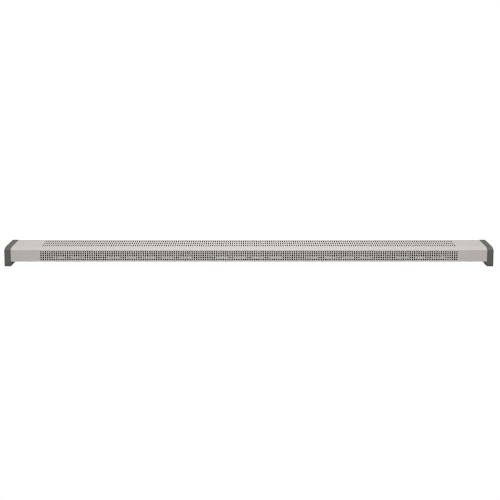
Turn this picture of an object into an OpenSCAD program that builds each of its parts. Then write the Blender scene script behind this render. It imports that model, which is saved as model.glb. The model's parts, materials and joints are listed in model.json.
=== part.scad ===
/* [Casing] */
// Length over both end caps
body_l = 1760; // [1200:10:2200]
// Depth over the end caps, front to back
body_d = 185; // [178:1:220]
// Height from the floor to the top of the end caps
body_h = 68; // [66:0.5:80]
// Height of the edge where the front face meets the curved band
edge_h = 60; // [58:0.5:62]
// Depth of the curved band between that edge and the flat top
band_run = 44; // [38:1:50]
// Gap under the casing, between the two feet
foot_gap = 16.5; // [14:0.5:18]
// Thickness of the painted sheet of the cover
sheet = 1; // [0.8:0.1:1.2]
// Radius inside the sharp folds of the cover
fold_in = 0.6; // [0.4:0.1:1]
// Outer radius of the rolled lower edge of the cover
roll_r = 5; // [4:0.5:6]
// Width of the lip turned back under the base
lip_w = 14; // [12:0.5:20]
// Height of the flange that hooks down over the back
flange_h = 12; // [8:0.5:13]

/* [Front grille] */
// Diameter of the round holes
hole_d = 5.5; // [3:0.5:6]
// Distance from column to column, used by both grilles
col_pitch = 8; // [7:0.5:12]
// Distance from row to row
row_pitch = 6.9; // [6.3:0.1:7]
// Rows of holes
front_rows = 5; // [2:1:5]
// Height of the lowest row above the lower edge of the casing
row_low = 8.6; // [8.2:0.1:9.4]
// Least plain sheet left at each end of both grilles
plain_l = 106; // [100:1:130]

/* [Top grille] */
// Width of a slot
slot_w = 3.5; // [2.5:0.5:5.5]
// Length of a slot, front to back
slot_l = 31; // [20:1:36]
// Distance from one row of slots to the next
slot_pitch = 44.5; // [40:0.5:48]
// Plain depth between the casing front and the first row
slot_front = 41; // [38:0.5:46]
// Least plain depth left behind the last row
slot_back = 8; // [6:1:12]

/* [End caps] */
// Visible width of an end cap
cap_w = 23; // [18:1:30]
// Wall of the moulding
cap_wall = 3; // [2.8:0.1:4]
// How far the caps stand proud of the sheet
cap_proud = 1.2; // [0.8:0.1:1.4]
// Thickness of the ribs inside the moulding
rib_t = 1.8; // [1.2:0.1:2.5]
// Chamfer round the outer side of the cap
cap_chamfer = 1.6; // [0.8:0.1:2.5]
// Length of the tongue that slides into the casing
spigot_l = 9; // [6:0.5:14]
// Radius of the screw bosses
boss_r = 4; // [3.5:0.1:5]

/* [Chassis] */
// Thickness of the chassis sheet
plate = 1; // [0.8:0.1:1.2]
// Height of the flange along the back of the base
base_flange = 14; // [12:0.5:16]
// Width of the feet folded on the upright plates
foot_w = 12; // [10:0.5:16]
// Length of an air inlet slot in the base
inlet_l = 50; // [30:1:54]
// Width of an air inlet slot
inlet_w = 13; // [6:0.5:14]
// Distance between the air inlet slots
inlet_pitch = 66; // [58:1:90]
// Radius of the two wall fixing holes
wall_hole_r = 3; // [2:0.5:4]
// Distance of a wall fixing hole from the end of the casing
wall_hole_in = 57; // [52:1:62]
// Distance of the heat shield from the back plate
shield_gap = 16; // [14:0.5:24]

/* [Heating element] */
// Diameter of the sheathed tube
tube_d = 8.5; // [6.5:0.5:10]
// Distance between the two legs of the hairpin
leg_gap = 44; // [38:1:50]
// Height of the element above the base plate
element_up = 19; // [17:0.5:20]
// Width of a fin
fin_w = 90; // [70:1:100]
// Height of a fin
fin_h = 30; // [20:1:32]
// Thickness of a fin
fin_t = 0.6; // [0.4:0.1:1]
// Distance from fin to fin
fin_pitch = 10; // [8:0.5:16]
// Brackets that carry the element
supports = 4; // [2:1:6]

/* [Wiring] */
// Radius of the bore of the cable grommet
grommet_r = 4.2; // [3:0.1:5]
// Radius of an insulated wire
wire_r = 1.4; // [1:0.1:1.6]
// Distance from pole to pole of the terminal block
pole_pitch = 12; // [10:0.5:14]

/* [Hidden] */
$fn = 40;

// Clearance between pieces that slide together, and over a cutting tool
fit = 0.3;
over = 1;

// Casing planes
casing_l = body_l - 2 * cap_w;
casing_x = casing_l / 2;
front_y = -body_d / 2 + cap_proud;
rear_y = body_d / 2 - cap_proud;
low_z = foot_gap;
top_z = body_h - cap_proud;
fold_r = fold_in + sheet;
corner_r = fold_r + cap_proud;
roll_c = [front_y + roll_r, low_z + roll_r];

// The curved band is one arc, tangent to the flat top
band_rise = body_h - edge_h;
band_r = (pow(band_run, 2) + pow(band_rise, 2)) / (2 * band_rise);
band_c = [-body_d / 2 + band_run, body_h - band_r];

// Chassis planes
base_z = low_z + sheet;
floor_z = base_z + plate;
back_out = rear_y - sheet;
back_in = back_out - plate;
room_rear = back_in - plate - fit;
end_x = casing_x - spigot_l;

// Grilles
cols = floor((casing_l - 2 * plain_l - hole_d) / col_pitch) + 1;
col_x0 = -(cols - 1) * col_pitch / 2;
grille_x = -col_x0 + hole_d / 2;
row_z0 = low_z + row_low;
slot_y0 = front_y + slot_front;
slot_rows = floor((rear_y - slot_back - slot_y0 - slot_l) / slot_pitch) + 1;

// Heated chamber between the bulkheads
chamber_x = grille_x + 3;
wall_x = chamber_x + plate;
element_y = -8;
element_z = floor_z + element_up;
leg_y = [element_y - leg_gap / 2, element_y + leg_gap / 2];
tube_r = tube_d / 2;
bend_in = 45;
bend_x = chamber_x - bend_in;
fin_in = 26;
fin_x0 = -chamber_x + fin_in;
fins = floor((bend_x - tube_d - fin_x0) / fin_pitch) + 1;
support_t = 1.5;
support_edge = 8;
support_w = leg_gap + tube_d + 2 * support_edge;
support_x = [for (k = [0 : supports - 1]) fin_x0 + fin_pitch * (0.5 + round((fins - 2) * (k + 0.5) / supports))];
shield_t = 0.8;
shield_y = back_in - shield_gap;
shield_top = top_z - sheet - 7;
inlets = floor((2 * chamber_x - 40) / inlet_pitch);
inlet_x = [for (k = [0 : inlets - 1]) (k - (inlets - 1) / 2) * inlet_pitch];
inlet_y = [-33, -10, 53.5];

// Element ends in the wiring compartment
bush_r = tube_r + 2.6;
bush_flange = 4;
bush_out = 11;
bush_nut = 5;
tube_end = wall_x + bush_out + 3;
insulator_l = 6;
insulator_r = 3.7;
pin_r = 2;
pin_end = tube_end + insulator_l + 16;
pin_nut_h = 3.2;
pin_nut_x = tube_end + insulator_l;
lug_t = 0.8;

// Screws and rivets
screw_r = 1.9;
screw_head_r = 3.8;
screw_head_h = 2.2;
rivet_r = 1.6;
rivet_head_r = 3.2;
rivet_head_h = 1;
hole_fit = 0.15;
foot_top = low_z - cap_wall + sheet;
foot_rib_gap = 46;
rib_in = 4;
rib_sink = 0.3;
cap_screw_front = 22.5;
cap_screw_rear = 24.5;
cap_screw_mid = 32;
cap_screw_low = 12.5;
cap_screw_high = 35;
cap_screw_at = [
  [-body_d / 2 + cap_screw_front, floor_z + cap_screw_low], [-cap_screw_mid, floor_z + cap_screw_high],
  [cap_screw_mid, floor_z + cap_screw_high], [body_d / 2 - cap_screw_rear, floor_z + cap_screw_low]
];
cover_screw_in = 60;
cover_screw_x = [for (k = [-1.5 : 1 : 1.5]) k * (casing_l - 2 * cover_screw_in) / 3];
cover_screw_y = roll_c[0] + lip_w / 2;
back_rivet_in = 30;
back_rivet_x = [for (k = [-2.5 : 1 : 2.5]) k * (casing_l - 2 * back_rivet_in) / 5];
back_rivet_z = base_z + base_flange - 5;
foot_rivet_front = 36.5;
foot_rivet_rear = 32.5;
foot_rivet_y = [-body_d / 2 + foot_rivet_front, body_d / 2 - foot_rivet_rear];

// Wiring compartment at the left end
block_in = 42;
block_x = -casing_x + block_in;
block_y = -16;
block_l = 22;
block_h = 18;
poles = 3;
block_w = poles * pole_pitch + 4;
pole_z = floor_z + 7;
pole_y = [for (k = [0 : poles - 1]) block_y + (k - (poles - 1) / 2) * pole_pitch];
bore_r = 2.2;
well_r = 2.6;
well_in = 5;
cutout_in = 35.3;
cutout_y = back_in - cutout_in;
cutout_z = floor_z + 22;
cutout_r = 8.2;
cutout_h = 9;
tab_l = 8;
tab_w = 6.3;
tab_t = 0.8;
stud_in = 40;
stud_x = -wall_x - stud_in;
stud_y = 40;
stud_r = 2;
stud_up = 12;
nut_h = 3.2;
nut_r = 4;
grommet_in = 30;
grommet_x = -casing_x + grommet_in;
grommet_z = (base_z + base_flange + top_z - flange_h) / 2;
grommet_waist = grommet_r + 2.6;
grommet_lip = grommet_waist + 1.8;
lip_t = 1.8;
clamp_x = grommet_x + 13;
clamp_in = 27.3;
clamp_y = back_in - clamp_in;
clamp_w = 10;
clamp_t = 2;
clamp_span = 30;
clamp_screw = 11;

// Points along an arc about c from angle a to angle b, leaving out the first s of them
function arc(c, r, a, b, n, s = 0) = [
  for (i = [s : n]) let (t = a + (b - a) * i / n) [c[0] + r * cos(t), c[1] + r * sin(t)]
];

function reversed(p) = [for (i = [len(p) - 1 : -1 : 0]) p[i]];

// Centre, and angle of the far end, of the rounding between the front face and the band
function edge_c(i, r) =
  let (y = -body_d / 2 + i + r)
  [y, band_c[1] + sqrt(pow(band_r - i - r, 2) - pow(y - band_c[0], 2))];
function edge_a(i, r) =
  let (c = edge_c(i, r)) atan2(c[1] - band_c[1], c[0] - band_c[0]);

// Front edge, band, top and rear corner, at inset i from the outline of the end caps
function roof(i, r) = concat(
  arc(edge_c(i, r), r, 180, edge_a(i, r), 5),
  arc(band_c, band_r - i, edge_a(i, r), 90, 12, 1),
  arc([body_d / 2 - i - r, body_h - i - r], r, 90, 0, 5)
);

function inset_r(i) = max(corner_r - i, 0.3);

// Outline of an end cap at inset i, with its lower side at height z
function cap_outline(i, z, r) = concat(
  roof(i, inset_r(i)),
  arc([body_d / 2 - i - r, z + r], r, 0, -90, 4),
  arc([-body_d / 2 + i + r, z + r], r, -90, -180, 4)
);

// One side of the folded cover: o is 0 on the painted face and the sheet's thickness inside
function fold_path(o) = concat(
  [[roll_c[0] + lip_w, low_z + o]],
  arc(roll_c, roll_r - o, 270, 180, 8),
  arc(edge_c(cap_proud, fold_r), fold_r - o, 180, edge_a(cap_proud, fold_r), 5),
  arc(band_c, band_r - cap_proud - o, edge_a(cap_proud, fold_r), 90, 12, 1),
  arc([rear_y - fold_r, top_z - fold_r], fold_r - o, 90, 0, 5),
  [[rear_y - o, top_z - flange_h]]
);

// Turns a profile drawn as depth and height into a solid along the length
module along_x(from, to) {
  translate([from, 0, 0]) rotate([90, 0, 90]) linear_extrude(height = to - from) children();
}

module mirrored_right() {
  mirror([1, 0, 0]) children();
}

module bar_x(r, from, to) {
  translate([from, 0, 0]) rotate([0, 90, 0]) cylinder(r = r, h = to - from);
}

module bar_y(r, from, to) {
  translate([0, to, 0]) rotate([90, 0, 0]) cylinder(r = r, h = to - from);
}

module hex_x(r, from, to) {
  translate([from, 0, 0]) rotate([0, 90, 0]) cylinder(r = r, h = to - from, $fn = 6);
}

// Slot with round ends, length l along the first axis
module slot_2d(l, w) {
  translate([-(l - w) / 2, -w / 2]) square([l - w, w]);
  for (s = [-1, 1]) {
    translate([s * (l - w) / 2, 0]) circle(r = w / 2, $fn = 24);
  }
}

// Free room inside the casing in depth and height, less a gap all round
module room_2d(gap) {
  i = cap_proud + sheet + gap;
  intersection() {
    polygon(concat(
      roof(i, inset_r(i)),
      [[body_d / 2 - i, low_z]],
      arc(roll_c, roll_r - sheet - gap, 270, 180, 6)
    ));
    translate([-body_d / 2, floor_z]) square([body_d / 2 + room_rear, body_h]);
  }
}

// Cover: one sheet, punched flat and folded
module front_holes() {
  for (c = [0 : cols - 1]) {
    for (r = [0 : front_rows - 1]) {
      translate([col_x0 + c * col_pitch, 0, row_z0 + r * row_pitch])
        bar_y(hole_d / 2, front_y - over, front_y + sheet + over, $fn = 24);
    }
  }
}

module top_slots() {
  for (c = [0 : cols - 1]) {
    for (r = [0 : slot_rows - 1]) {
      translate([col_x0 + c * col_pitch, slot_y0 + r * slot_pitch + slot_l / 2, top_z - sheet - over])
        rotate([0, 0, 90]) linear_extrude(height = sheet + 2 * over) slot_2d(slot_l, slot_w);
    }
  }
}

module cover() {
  color("gainsboro") difference() {
    along_x(-casing_x, casing_x) polygon(concat(fold_path(0), reversed(fold_path(sheet))));
    front_holes();
    top_slots();
    for (x = cover_screw_x) {
      translate([x, cover_screw_y, low_z - over]) cylinder(r = screw_r + hole_fit, h = sheet + 2 * over);
    }
  }
}

// True where the foot of an element bracket would cover an air inlet at x, y
function under_bracket(x, y) = len([
  for (s = support_x)
    if (abs(x - s - foot_w / 2) < (inlet_l + foot_w) / 2 + 1 && abs(y - element_y) < (support_w + inlet_w) / 2) s
]) > 0;

// Base plate: a tray with air inlets and a flange up the back
module base_plate() {
  bend = plate + 0.5;
  profile = concat(
    [[roll_c[0] + fit, base_z]],
    arc([back_in - bend, base_z + bend], bend, 270, 360, 4),
    [[back_in, base_z + base_flange], [back_in - plate, base_z + base_flange]],
    arc([back_in - bend, base_z + bend], bend - plate, 360, 270, 4),
    [[roll_c[0] + fit, floor_z]]
  );
  color("silver") difference() {
    along_x(-casing_x + fit, casing_x - fit) polygon(profile);
    for (x = inlet_x) {
      for (y = inlet_y) {
        if (!under_bracket(x, y)) {
          translate([x, y, base_z - over])
            linear_extrude(height = plate + 2 * over) slot_2d(inlet_l, inlet_w);
        }
      }
    }
    for (x = cover_screw_x) {
      translate([x, cover_screw_y, base_z - over]) cylinder(r = screw_r + hole_fit, h = plate + 2 * over);
    }
    for (x = back_rivet_x) {
      translate([x, 0, back_rivet_z]) bar_y(rivet_r + hole_fit, back_in - plate - over, back_in + over);
    }
    for (p = base_rivet_at) {
      translate([p[0], p[1], base_z - over]) cylinder(r = rivet_r + hole_fit, h = plate + 2 * over);
    }
    for (p = concat(block_screw_at, clamp_screw_at)) {
      translate([p[0], p[1], base_z - over]) cylinder(r = small_r + hole_fit, h = plate + 2 * over);
    }
    translate([stud_x, stud_y, base_z - over]) cylinder(r = stud_r + hole_fit, h = plate + 2 * over);
  }
}

// Back plate: a flat sheet with the wall fixing holes and the cable entry
module back_plate() {
  color("silver") difference() {
    translate([-casing_x + fit, back_in, base_z])
      cube([casing_l - 2 * fit, plate, top_z - sheet - fold_in - fit - base_z]);
    for (s = [-1, 1]) {
      translate([s * (casing_x - wall_hole_in), 0, grommet_z])
        bar_y(wall_hole_r, back_in - over, back_out + over);
    }
    translate([grommet_x, 0, grommet_z])
      bar_y(grommet_waist + hole_fit, back_in - over, back_out + over);
    for (x = back_rivet_x) {
      translate([x, 0, back_rivet_z]) bar_y(rivet_r + hole_fit, back_in - over, back_out + over);
    }
  }
}

// End caps: mouldings that are hollow towards the casing above, and from below in the foot
module cap_block(i, z, r, from, to) {
  along_x(from, to) polygon(cap_outline(i, z, r));
}

module cap_ribs() {
  for (p = cap_screw_at) {
    translate([casing_x + rib_in, p[0] - rib_t / 2, low_z - rib_sink])
      cube([cap_w - rib_in - cap_wall / 2, rib_t, p[1] - low_z + rib_sink]);
  }
  for (k = [-1 : 1]) {
    translate([casing_x + cap_wall - rib_sink, k * foot_rib_gap - rib_t / 2, 0])
      cube([cap_w - 2 * cap_wall + 2 * rib_sink, rib_t, foot_top + rib_sink]);
  }
}

module foot_pocket() {
  translate([casing_x + cap_wall, -body_d / 2 + cap_wall, -over])
    cube([cap_w - 2 * cap_wall, body_d - 2 * cap_wall, foot_top + over]);
}

module end_cap() {
  tongue = cap_proud + sheet + fit;
  difference() {
    union() {
      difference() {
        union() {
          cap_block(0, 0, 2, casing_x, body_l / 2 - cap_chamfer);
          hull() {
            cap_block(0, 0, 2, body_l / 2 - cap_chamfer - 0.1, body_l / 2 - cap_chamfer);
            cap_block(cap_chamfer, cap_chamfer, 1, body_l / 2 - 0.1, body_l / 2);
          }
        }
        cap_block(cap_wall, low_z, 1, casing_x - over, body_l / 2 - cap_wall);
        foot_pocket();
      }
      cap_ribs();
      along_x(end_x, casing_x + 6) intersection() {
        difference() {
          polygon(cap_outline(tongue, 0, 1));
          polygon(cap_outline(tongue + rib_t, -5, 1));
        }
        translate([-body_d, roll_c[1] + 3]) square([body_d + room_rear - 6, body_h]);
      }
      for (p = cap_screw_at) {
        translate([0, p[0], p[1]]) bar_x(boss_r, end_x, body_l / 2 - cap_wall / 2);
      }
    }
    for (p = cap_screw_at) {
      translate([0, p[0], p[1]]) bar_x(screw_r + hole_fit, end_x - over, end_x + 18);
    }
  }
}

module right_end_cap() {
  color("dimgray") end_cap();
}

module left_end_cap() {
  color("dimgray") mirrored_right() end_cap();
}

// Upright plates: each stands on a folded foot that is riveted to the base
module upright(x, dir) {
  along_x(min(x, x + dir * plate), max(x, x + dir * plate)) room_2d(fit);
  foot_from = dir > 0 ? x - foot_w : x;
  translate([foot_from, roll_c[0] + 6, floor_z]) cube([foot_w, room_rear - roll_c[0] - 12, plate]);
}

module rivet_holes(x) {
  for (y = foot_rivet_y) {
    translate([x, y, floor_z - over]) cylinder(r = rivet_r + hole_fit, h = plate + 2 * over);
  }
}

module end_plate() {
  difference() {
    upright(end_x - plate, 1);
    rivet_holes(end_x - plate - foot_w / 2);
    for (p = cap_screw_at) {
      translate([0, p[0], p[1]]) bar_x(screw_r + hole_fit, end_x - plate - over, end_x + over);
    }
  }
}

module right_end_plate() {
  color("lightsteelblue") end_plate();
}

module left_end_plate() {
  color("lightsteelblue") mirrored_right() end_plate();
}

module bulkhead() {
  difference() {
    upright(wall_x - plate, 1);
    rivet_holes(wall_x - plate - foot_w / 2);
  }
}

module right_bulkhead() {
  color("lightsteelblue") bulkhead();
}

module left_bulkhead() {
  color("lightsteelblue") difference() {
    mirrored_right() bulkhead();
    for (y = leg_y) {
      translate([0, y, element_z]) bar_x(bush_r + hole_fit, -wall_x - over, -chamber_x + over);
    }
    translate([0, cutout_y, cutout_z]) {
      for (s = [-1, 1]) {
        translate([0, 0, s * (cutout_r + 4)]) bar_x(small_r + hole_fit, -wall_x - over, -chamber_x + over);
      }
    }
  }
}

// Heat shield: a bright sheet that keeps the heat off the back plate
module heat_shield() {
  color("whitesmoke") difference() {
    along_x(-chamber_x + 2, chamber_x - 2) polygon([
      [shield_y, floor_z], [shield_y + shield_gap - 4, floor_z],
      [shield_y + shield_gap - 4, floor_z + shield_t], [shield_y + shield_t, floor_z + shield_t],
      [shield_y + shield_t, shield_top], [shield_y, shield_top]
    ]);
    for (x = shield_rivet_x) {
      translate([x, shield_rivet_y, floor_z - over]) cylinder(r = rivet_r + hole_fit, h = shield_t + 2 * over);
    }
  }
}

// Heating element: a hairpin of sheathed tube with a pin at each end
module heating_element() {
  color("slategray") {
    for (y = leg_y) {
      translate([0, y, element_z]) {
        bar_x(tube_r, -tube_end, bend_x);
        bar_x(pin_r, -pin_end, -tube_end + 1);
      }
    }
    translate([bend_x, element_y, element_z]) rotate([0, 0, -90]) rotate_extrude(angle = 180)
      translate([leg_gap / 2, 0]) circle(r = tube_r);
  }
}

module fin_2d() {
  difference() {
    translate([element_y - fin_w / 2, element_z - fin_h / 2]) square([fin_w, fin_h]);
    for (y = leg_y) {
      translate([y, element_z]) circle(r = tube_r + hole_fit);
    }
    // Cut-out between the legs, so that the air passes close to both
    translate([element_y, element_z]) rotate([0, 0, 90]) slot_2d(fin_h * 0.6, leg_gap * 0.25);
  }
}

module element_fins() {
  color("silver") for (k = [0 : fins - 1]) {
    along_x(fin_x0 + k * fin_pitch - fin_t / 2, fin_x0 + k * fin_pitch + fin_t / 2) fin_2d();
  }
}

module element_supports() {
  color("darkgray") for (x = support_x) {
    difference() {
      union() {
        along_x(x - support_t / 2, x + support_t / 2)
          translate([element_y - support_w / 2, floor_z]) square([support_w, element_up + tube_r + 5]);
        translate([x - support_t / 2, element_y - support_w / 2, floor_z])
          cube([foot_w, support_w, support_t]);
      }
      for (y = leg_y) {
        translate([0, y, element_z]) bar_x(tube_r + hole_fit, x - over, x + over);
      }
      along_x(x - over, x + over) translate([element_y, floor_z + element_up])
        rotate([0, 0, 90]) slot_2d(element_up, leg_gap * 0.4);
      for (s = [-1, 1]) {
        translate([x + foot_w / 2, element_y + s * support_foot, floor_z - over])
          cylinder(r = rivet_r + hole_fit, h = support_t + 2 * over);
      }
    }
  }
}

module element_bushes() {
  color("goldenrod") for (y = leg_y) {
    translate([0, y, element_z]) difference() {
      union() {
        bar_x(bush_r, -wall_x - bush_out, -chamber_x + 1);
        hex_x(bush_r + 3, -chamber_x, -chamber_x + bush_flange);
      }
      bar_x(tube_r + hole_fit, -wall_x - bush_out - over, -chamber_x + bush_flange + over);
    }
  }
}

module element_nuts() {
  color("goldenrod") for (y = leg_y) {
    translate([0, y, element_z]) difference() {
      hex_x(bush_r + 3.4, -wall_x - bush_nut, -wall_x);
      bar_x(bush_r + hole_fit, -wall_x - bush_nut - over, -wall_x + over);
    }
  }
}

module pin_insulators() {
  color("ivory") for (y = leg_y) {
    translate([0, y, element_z]) difference() {
      union() {
        bar_x(insulator_r, -tube_end - insulator_l, -tube_end);
        bar_x(insulator_r + 0.8, -tube_end - 2, -tube_end);
      }
      bar_x(pin_r + hole_fit, -tube_end - insulator_l - over, -tube_end + over);
    }
  }
}

// Nuts on the element pins: one under each lug and one over it
module pin_nuts() {
  color("silver") for (y = leg_y) {
    for (x = [pin_nut_x, pin_nut_x + pin_nut_h + lug_t]) {
      translate([0, y, element_z]) difference() {
        hex_x(nut_r, -x - pin_nut_h, -x);
        bar_x(pin_r + hole_fit, -x - pin_nut_h - over, -x + over);
      }
    }
  }
}

// Safety cut-out on the bulkhead, with two push-on tabs
small_r = 1.5;
small_head_r = 2.8;
small_head_h = 1.8;
cutout_flange = 1;
tab_x = -wall_x - cutout_flange - cutout_h;
tab_y = [cutout_y - 4.5, cutout_y + 4.5];

module thermal_cutout() {
  color("darkslategray") {
    translate([0, cutout_y, cutout_z]) {
      bar_x(cutout_r, tab_x, -wall_x - cutout_flange / 2);
      difference() {
        along_x(-wall_x - cutout_flange, -wall_x) rotate([0, 0, 90]) slot_2d(2 * cutout_r + 15, 10);
        for (s = [-1, 1]) {
          translate([0, 0, s * (cutout_r + 4)]) bar_x(small_r + hole_fit, -wall_x - over - cutout_flange, -wall_x + over);
        }
      }
    }
    for (y = tab_y) {
      translate([tab_x - tab_l, y - tab_t / 2, cutout_z - tab_w / 2]) cube([tab_l + 0.5, tab_t, tab_w]);
    }
  }
}

module cutout_screws() {
  color("silver") for (s = [-1, 1]) {
    translate([0, cutout_y, cutout_z + s * (cutout_r + 4)]) {
      bar_x(small_r, -wall_x - cutout_flange - 0.5, -chamber_x + 3);
      bar_x(small_head_r, -wall_x - cutout_flange - small_head_h, -wall_x - cutout_flange);
    }
  }
}

// Terminal block: three poles, each a bore with a clamping screw from above at either side
block_screw_at = [[block_x, block_y - block_w / 2 - 4], [block_x, block_y + block_w / 2 + 4]];

module terminal_block() {
  color("ivory") difference() {
    union() {
      translate([block_x - block_l / 2, block_y - block_w / 2, floor_z]) cube([block_l, block_w, block_h - 4]);
      for (y = pole_y) {
        translate([block_x - block_l / 2 + 1.5, y - pole_pitch * 0.36, floor_z + 1])
          cube([block_l - 3, pole_pitch * 0.72, block_h - 1]);
      }
      for (p = block_screw_at) {
        translate([p[0], p[1], floor_z]) cylinder(r = 4.5, h = 4);
      }
    }
    for (y = pole_y) {
      translate([0, y, pole_z]) bar_x(bore_r, block_x - block_l / 2 - over, block_x + block_l / 2 + over);
      for (s = [-1, 1]) {
        translate([block_x + s * well_in, y, pole_z]) cylinder(r = well_r, h = block_h);
      }
    }
    for (p = block_screw_at) {
      translate([p[0], p[1], floor_z - over]) cylinder(r = small_r + hole_fit, h = 4 + 2 * over);
    }
  }
}

module slotted_head(r, h) {
  difference() {
    cylinder(r = r, h = h);
    translate([-r - over, -r * 0.14, h * 0.55]) cube([2 * r + 2 * over, r * 0.28, h]);
  }
}

module terminal_screws() {
  color("goldenrod") for (y = pole_y) {
    for (s = [-1, 1]) {
      translate([block_x + s * well_in, y, pole_z + wire_r]) slotted_head(well_r - hole_fit, 5);
    }
  }
}

module block_screws() {
  color("silver") for (p = block_screw_at) {
    translate([p[0], p[1], base_z - 3]) cylinder(r = small_r, h = 3 + plate + 4.5);
    translate([p[0], p[1], floor_z + 4]) slotted_head(small_head_r, small_head_h);
  }
}

// Wires: a tube of eight sides swept along a smooth route through a few chosen points
function cubic(a, b, c, d, t) =
  0.5 * (2 * b + (c - a) * t + (2 * a - 5 * b + 4 * c - d) * t * t + (3 * b - a - 3 * c + d) * t * t * t);
function route(p, n) = concat(
  [for (k = [1 : len(p) - 3]) for (i = [0 : n - 1]) cubic(p[k - 1], p[k], p[k + 1], p[k + 2], i / n)],
  [p[len(p) - 2]]
);
function along(p) = concat([2 * p[0] - p[1]], p, [2 * p[len(p) - 1] - p[len(p) - 2]]);
function unit(v) = v / norm(v);
function heading(p, i) = unit(p[min(i + 1, len(p) - 1)] - p[max(i - 1, 0)]);
function ring(c, h, r, n) =
  let (s = unit(cross(h, [0, 0.05, 1])), u = cross(s, h))
  [for (k = [0 : n - 1]) c + r * (cos(360 * k / n) * s + sin(360 * k / n) * u)];

module wire(points) {
  n = 8;
  p = route(along(points), 5);
  rings = [for (i = [0 : len(p) - 1]) each ring(p[i], heading(p, i), wire_r, n)];
  sides = [
    for (i = [0 : len(p) - 2]) for (k = [0 : n - 1])
      each [
        [i * n + k, i * n + (k + 1) % n, (i + 1) * n + (k + 1) % n],
        [i * n + k, (i + 1) * n + (k + 1) % n, (i + 1) * n + k]
      ]
  ];
  caps = [
    [for (k = [n - 1 : -1 : 0]) k],
    [for (k = [0 : n - 1]) (len(p) - 1) * n + k]
  ];
  polyhedron(points = rings, faces = [for (f = concat(sides, caps)) reversed(f)]);
}

// Where the wires begin and end
block_out = block_x + block_l / 2;
function pole_at(k) = [block_out - 9, pole_y[k], pole_z];
pin_lug_x = -pin_nut_x - pin_nut_h;
lug_end = 9;
tab_end = tab_x - tab_l;
sleeve_l = tab_l + 5;

module live_wire() {
  color("brown") wire([
    pole_at(2), pole_at(2) + [11, 0, 0], pole_at(2) + [15, 12, 8],
    [tab_end - 16, tab_y[1] - 2, cutout_z], [tab_x - sleeve_l + 1.5, tab_y[1], cutout_z]
  ]);
}

module link_wire() {
  color("brown") wire([
    [tab_x - sleeve_l + 1.5, tab_y[0], cutout_z], [tab_x - sleeve_l - 4, tab_y[0] - 1, cutout_z],
    [tab_x - sleeve_l - 3, tab_y[0] - 16, cutout_z + 3], [pin_lug_x - lug_t / 2, leg_y[1] + lug_end + 6, element_z + 1],
    [pin_lug_x - lug_t / 2, leg_y[1] + lug_end - 1.5, element_z]
  ]);
}

module neutral_wire() {
  color("royalblue") wire([
    pole_at(0), pole_at(0) + [11, 0, 0], pole_at(0) + [16, -14, 3],
    [pin_lug_x - lug_t / 2, leg_y[0] - lug_end - 8, element_z - 2],
    [pin_lug_x - lug_t / 2, leg_y[0] - lug_end + 1.5, element_z]
  ]);
}

module earth_wire() {
  color("yellowgreen") wire([
    pole_at(1), pole_at(1) + [11, 0, 0], pole_at(1) + [19, 10, -2],
    [stud_x, stud_y - lug_end - 8, floor_z + nut_h + wire_r + 2],
    [stud_x, stud_y - lug_end + 1.5, floor_z + nut_h + lug_t / 2]
  ]);
}

// Lug: an eye on a pin, and a barrel that is crimped on the wire
module lug_2d(r) {
  difference() {
    union() {
      circle(r = 3.9);
      translate([-2, -lug_end + 0.5]) square([4, lug_end - 0.5]);
    }
    circle(r = r + hole_fit);
  }
}

module lug() {
  linear_extrude(height = lug_t) lug_2d(pin_r);
  translate([0, -lug_end, lug_t / 2]) difference() {
    bar_y(wire_r + 0.8, -4, 0);
    bar_y(wire_r + hole_fit, -4 - over, over);
  }
}

module wire_lugs() {
  color("silver") {
    for (s = [0, 1]) {
      translate([pin_lug_x, leg_y[s], element_z]) rotate([0, -90, 0])
        rotate([0, 0, s == 0 ? 0 : 180]) lug();
    }
    translate([stud_x, stud_y, floor_z + nut_h]) lug();
    for (y = tab_y) {
      translate([tab_x - sleeve_l, y - 1.7, cutout_z - tab_w / 2 - 0.6]) difference() {
        cube([sleeve_l - 0.5, 3.4, tab_w + 1.2]);
        translate([5, 1.7 - tab_t / 2 - hole_fit, 0.6 - hole_fit]) cube([sleeve_l, tab_t + 2 * hole_fit, tab_w + 2 * hole_fit]);
        translate([0, 1.7, tab_w / 2 + 0.6]) bar_x(wire_r + hole_fit, -over, 3.5, $fn = 24);
      }
    }
  }
}

module earth_stud() {
  color("goldenrod") {
    translate([stud_x, stud_y, base_z - 1.4]) cylinder(r = 3.6, h = 1.4);
    translate([stud_x, stud_y, base_z - 1.4]) cylinder(r = stud_r, h = 1.4 + plate + stud_up);
  }
}

module earth_nuts() {
  color("goldenrod") for (z = [floor_z, floor_z + nut_h + lug_t]) {
    translate([stud_x, stud_y, z]) difference() {
      cylinder(r = nut_r, h = nut_h, $fn = 6);
      translate([0, 0, -over]) cylinder(r = stud_r + hole_fit, h = nut_h + 2 * over);
    }
  }
}

// Cable entry: a grommet in the back plate, and a clamp on the base
module cable_grommet() {
  color("black") translate([grommet_x, 0, grommet_z]) difference() {
    union() {
      bar_y(grommet_waist, back_in - lip_t, back_out + lip_t);
      bar_y(grommet_lip, back_in - lip_t, back_in);
      bar_y(grommet_lip, back_out, min(back_out + lip_t, body_d / 2 - 0.2));
    }
    bar_y(grommet_r, back_in - lip_t - over, back_out + lip_t + over);
  }
}

clamp_screw_at = [[clamp_x - clamp_screw, clamp_y], [clamp_x + clamp_screw, clamp_y]];

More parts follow.
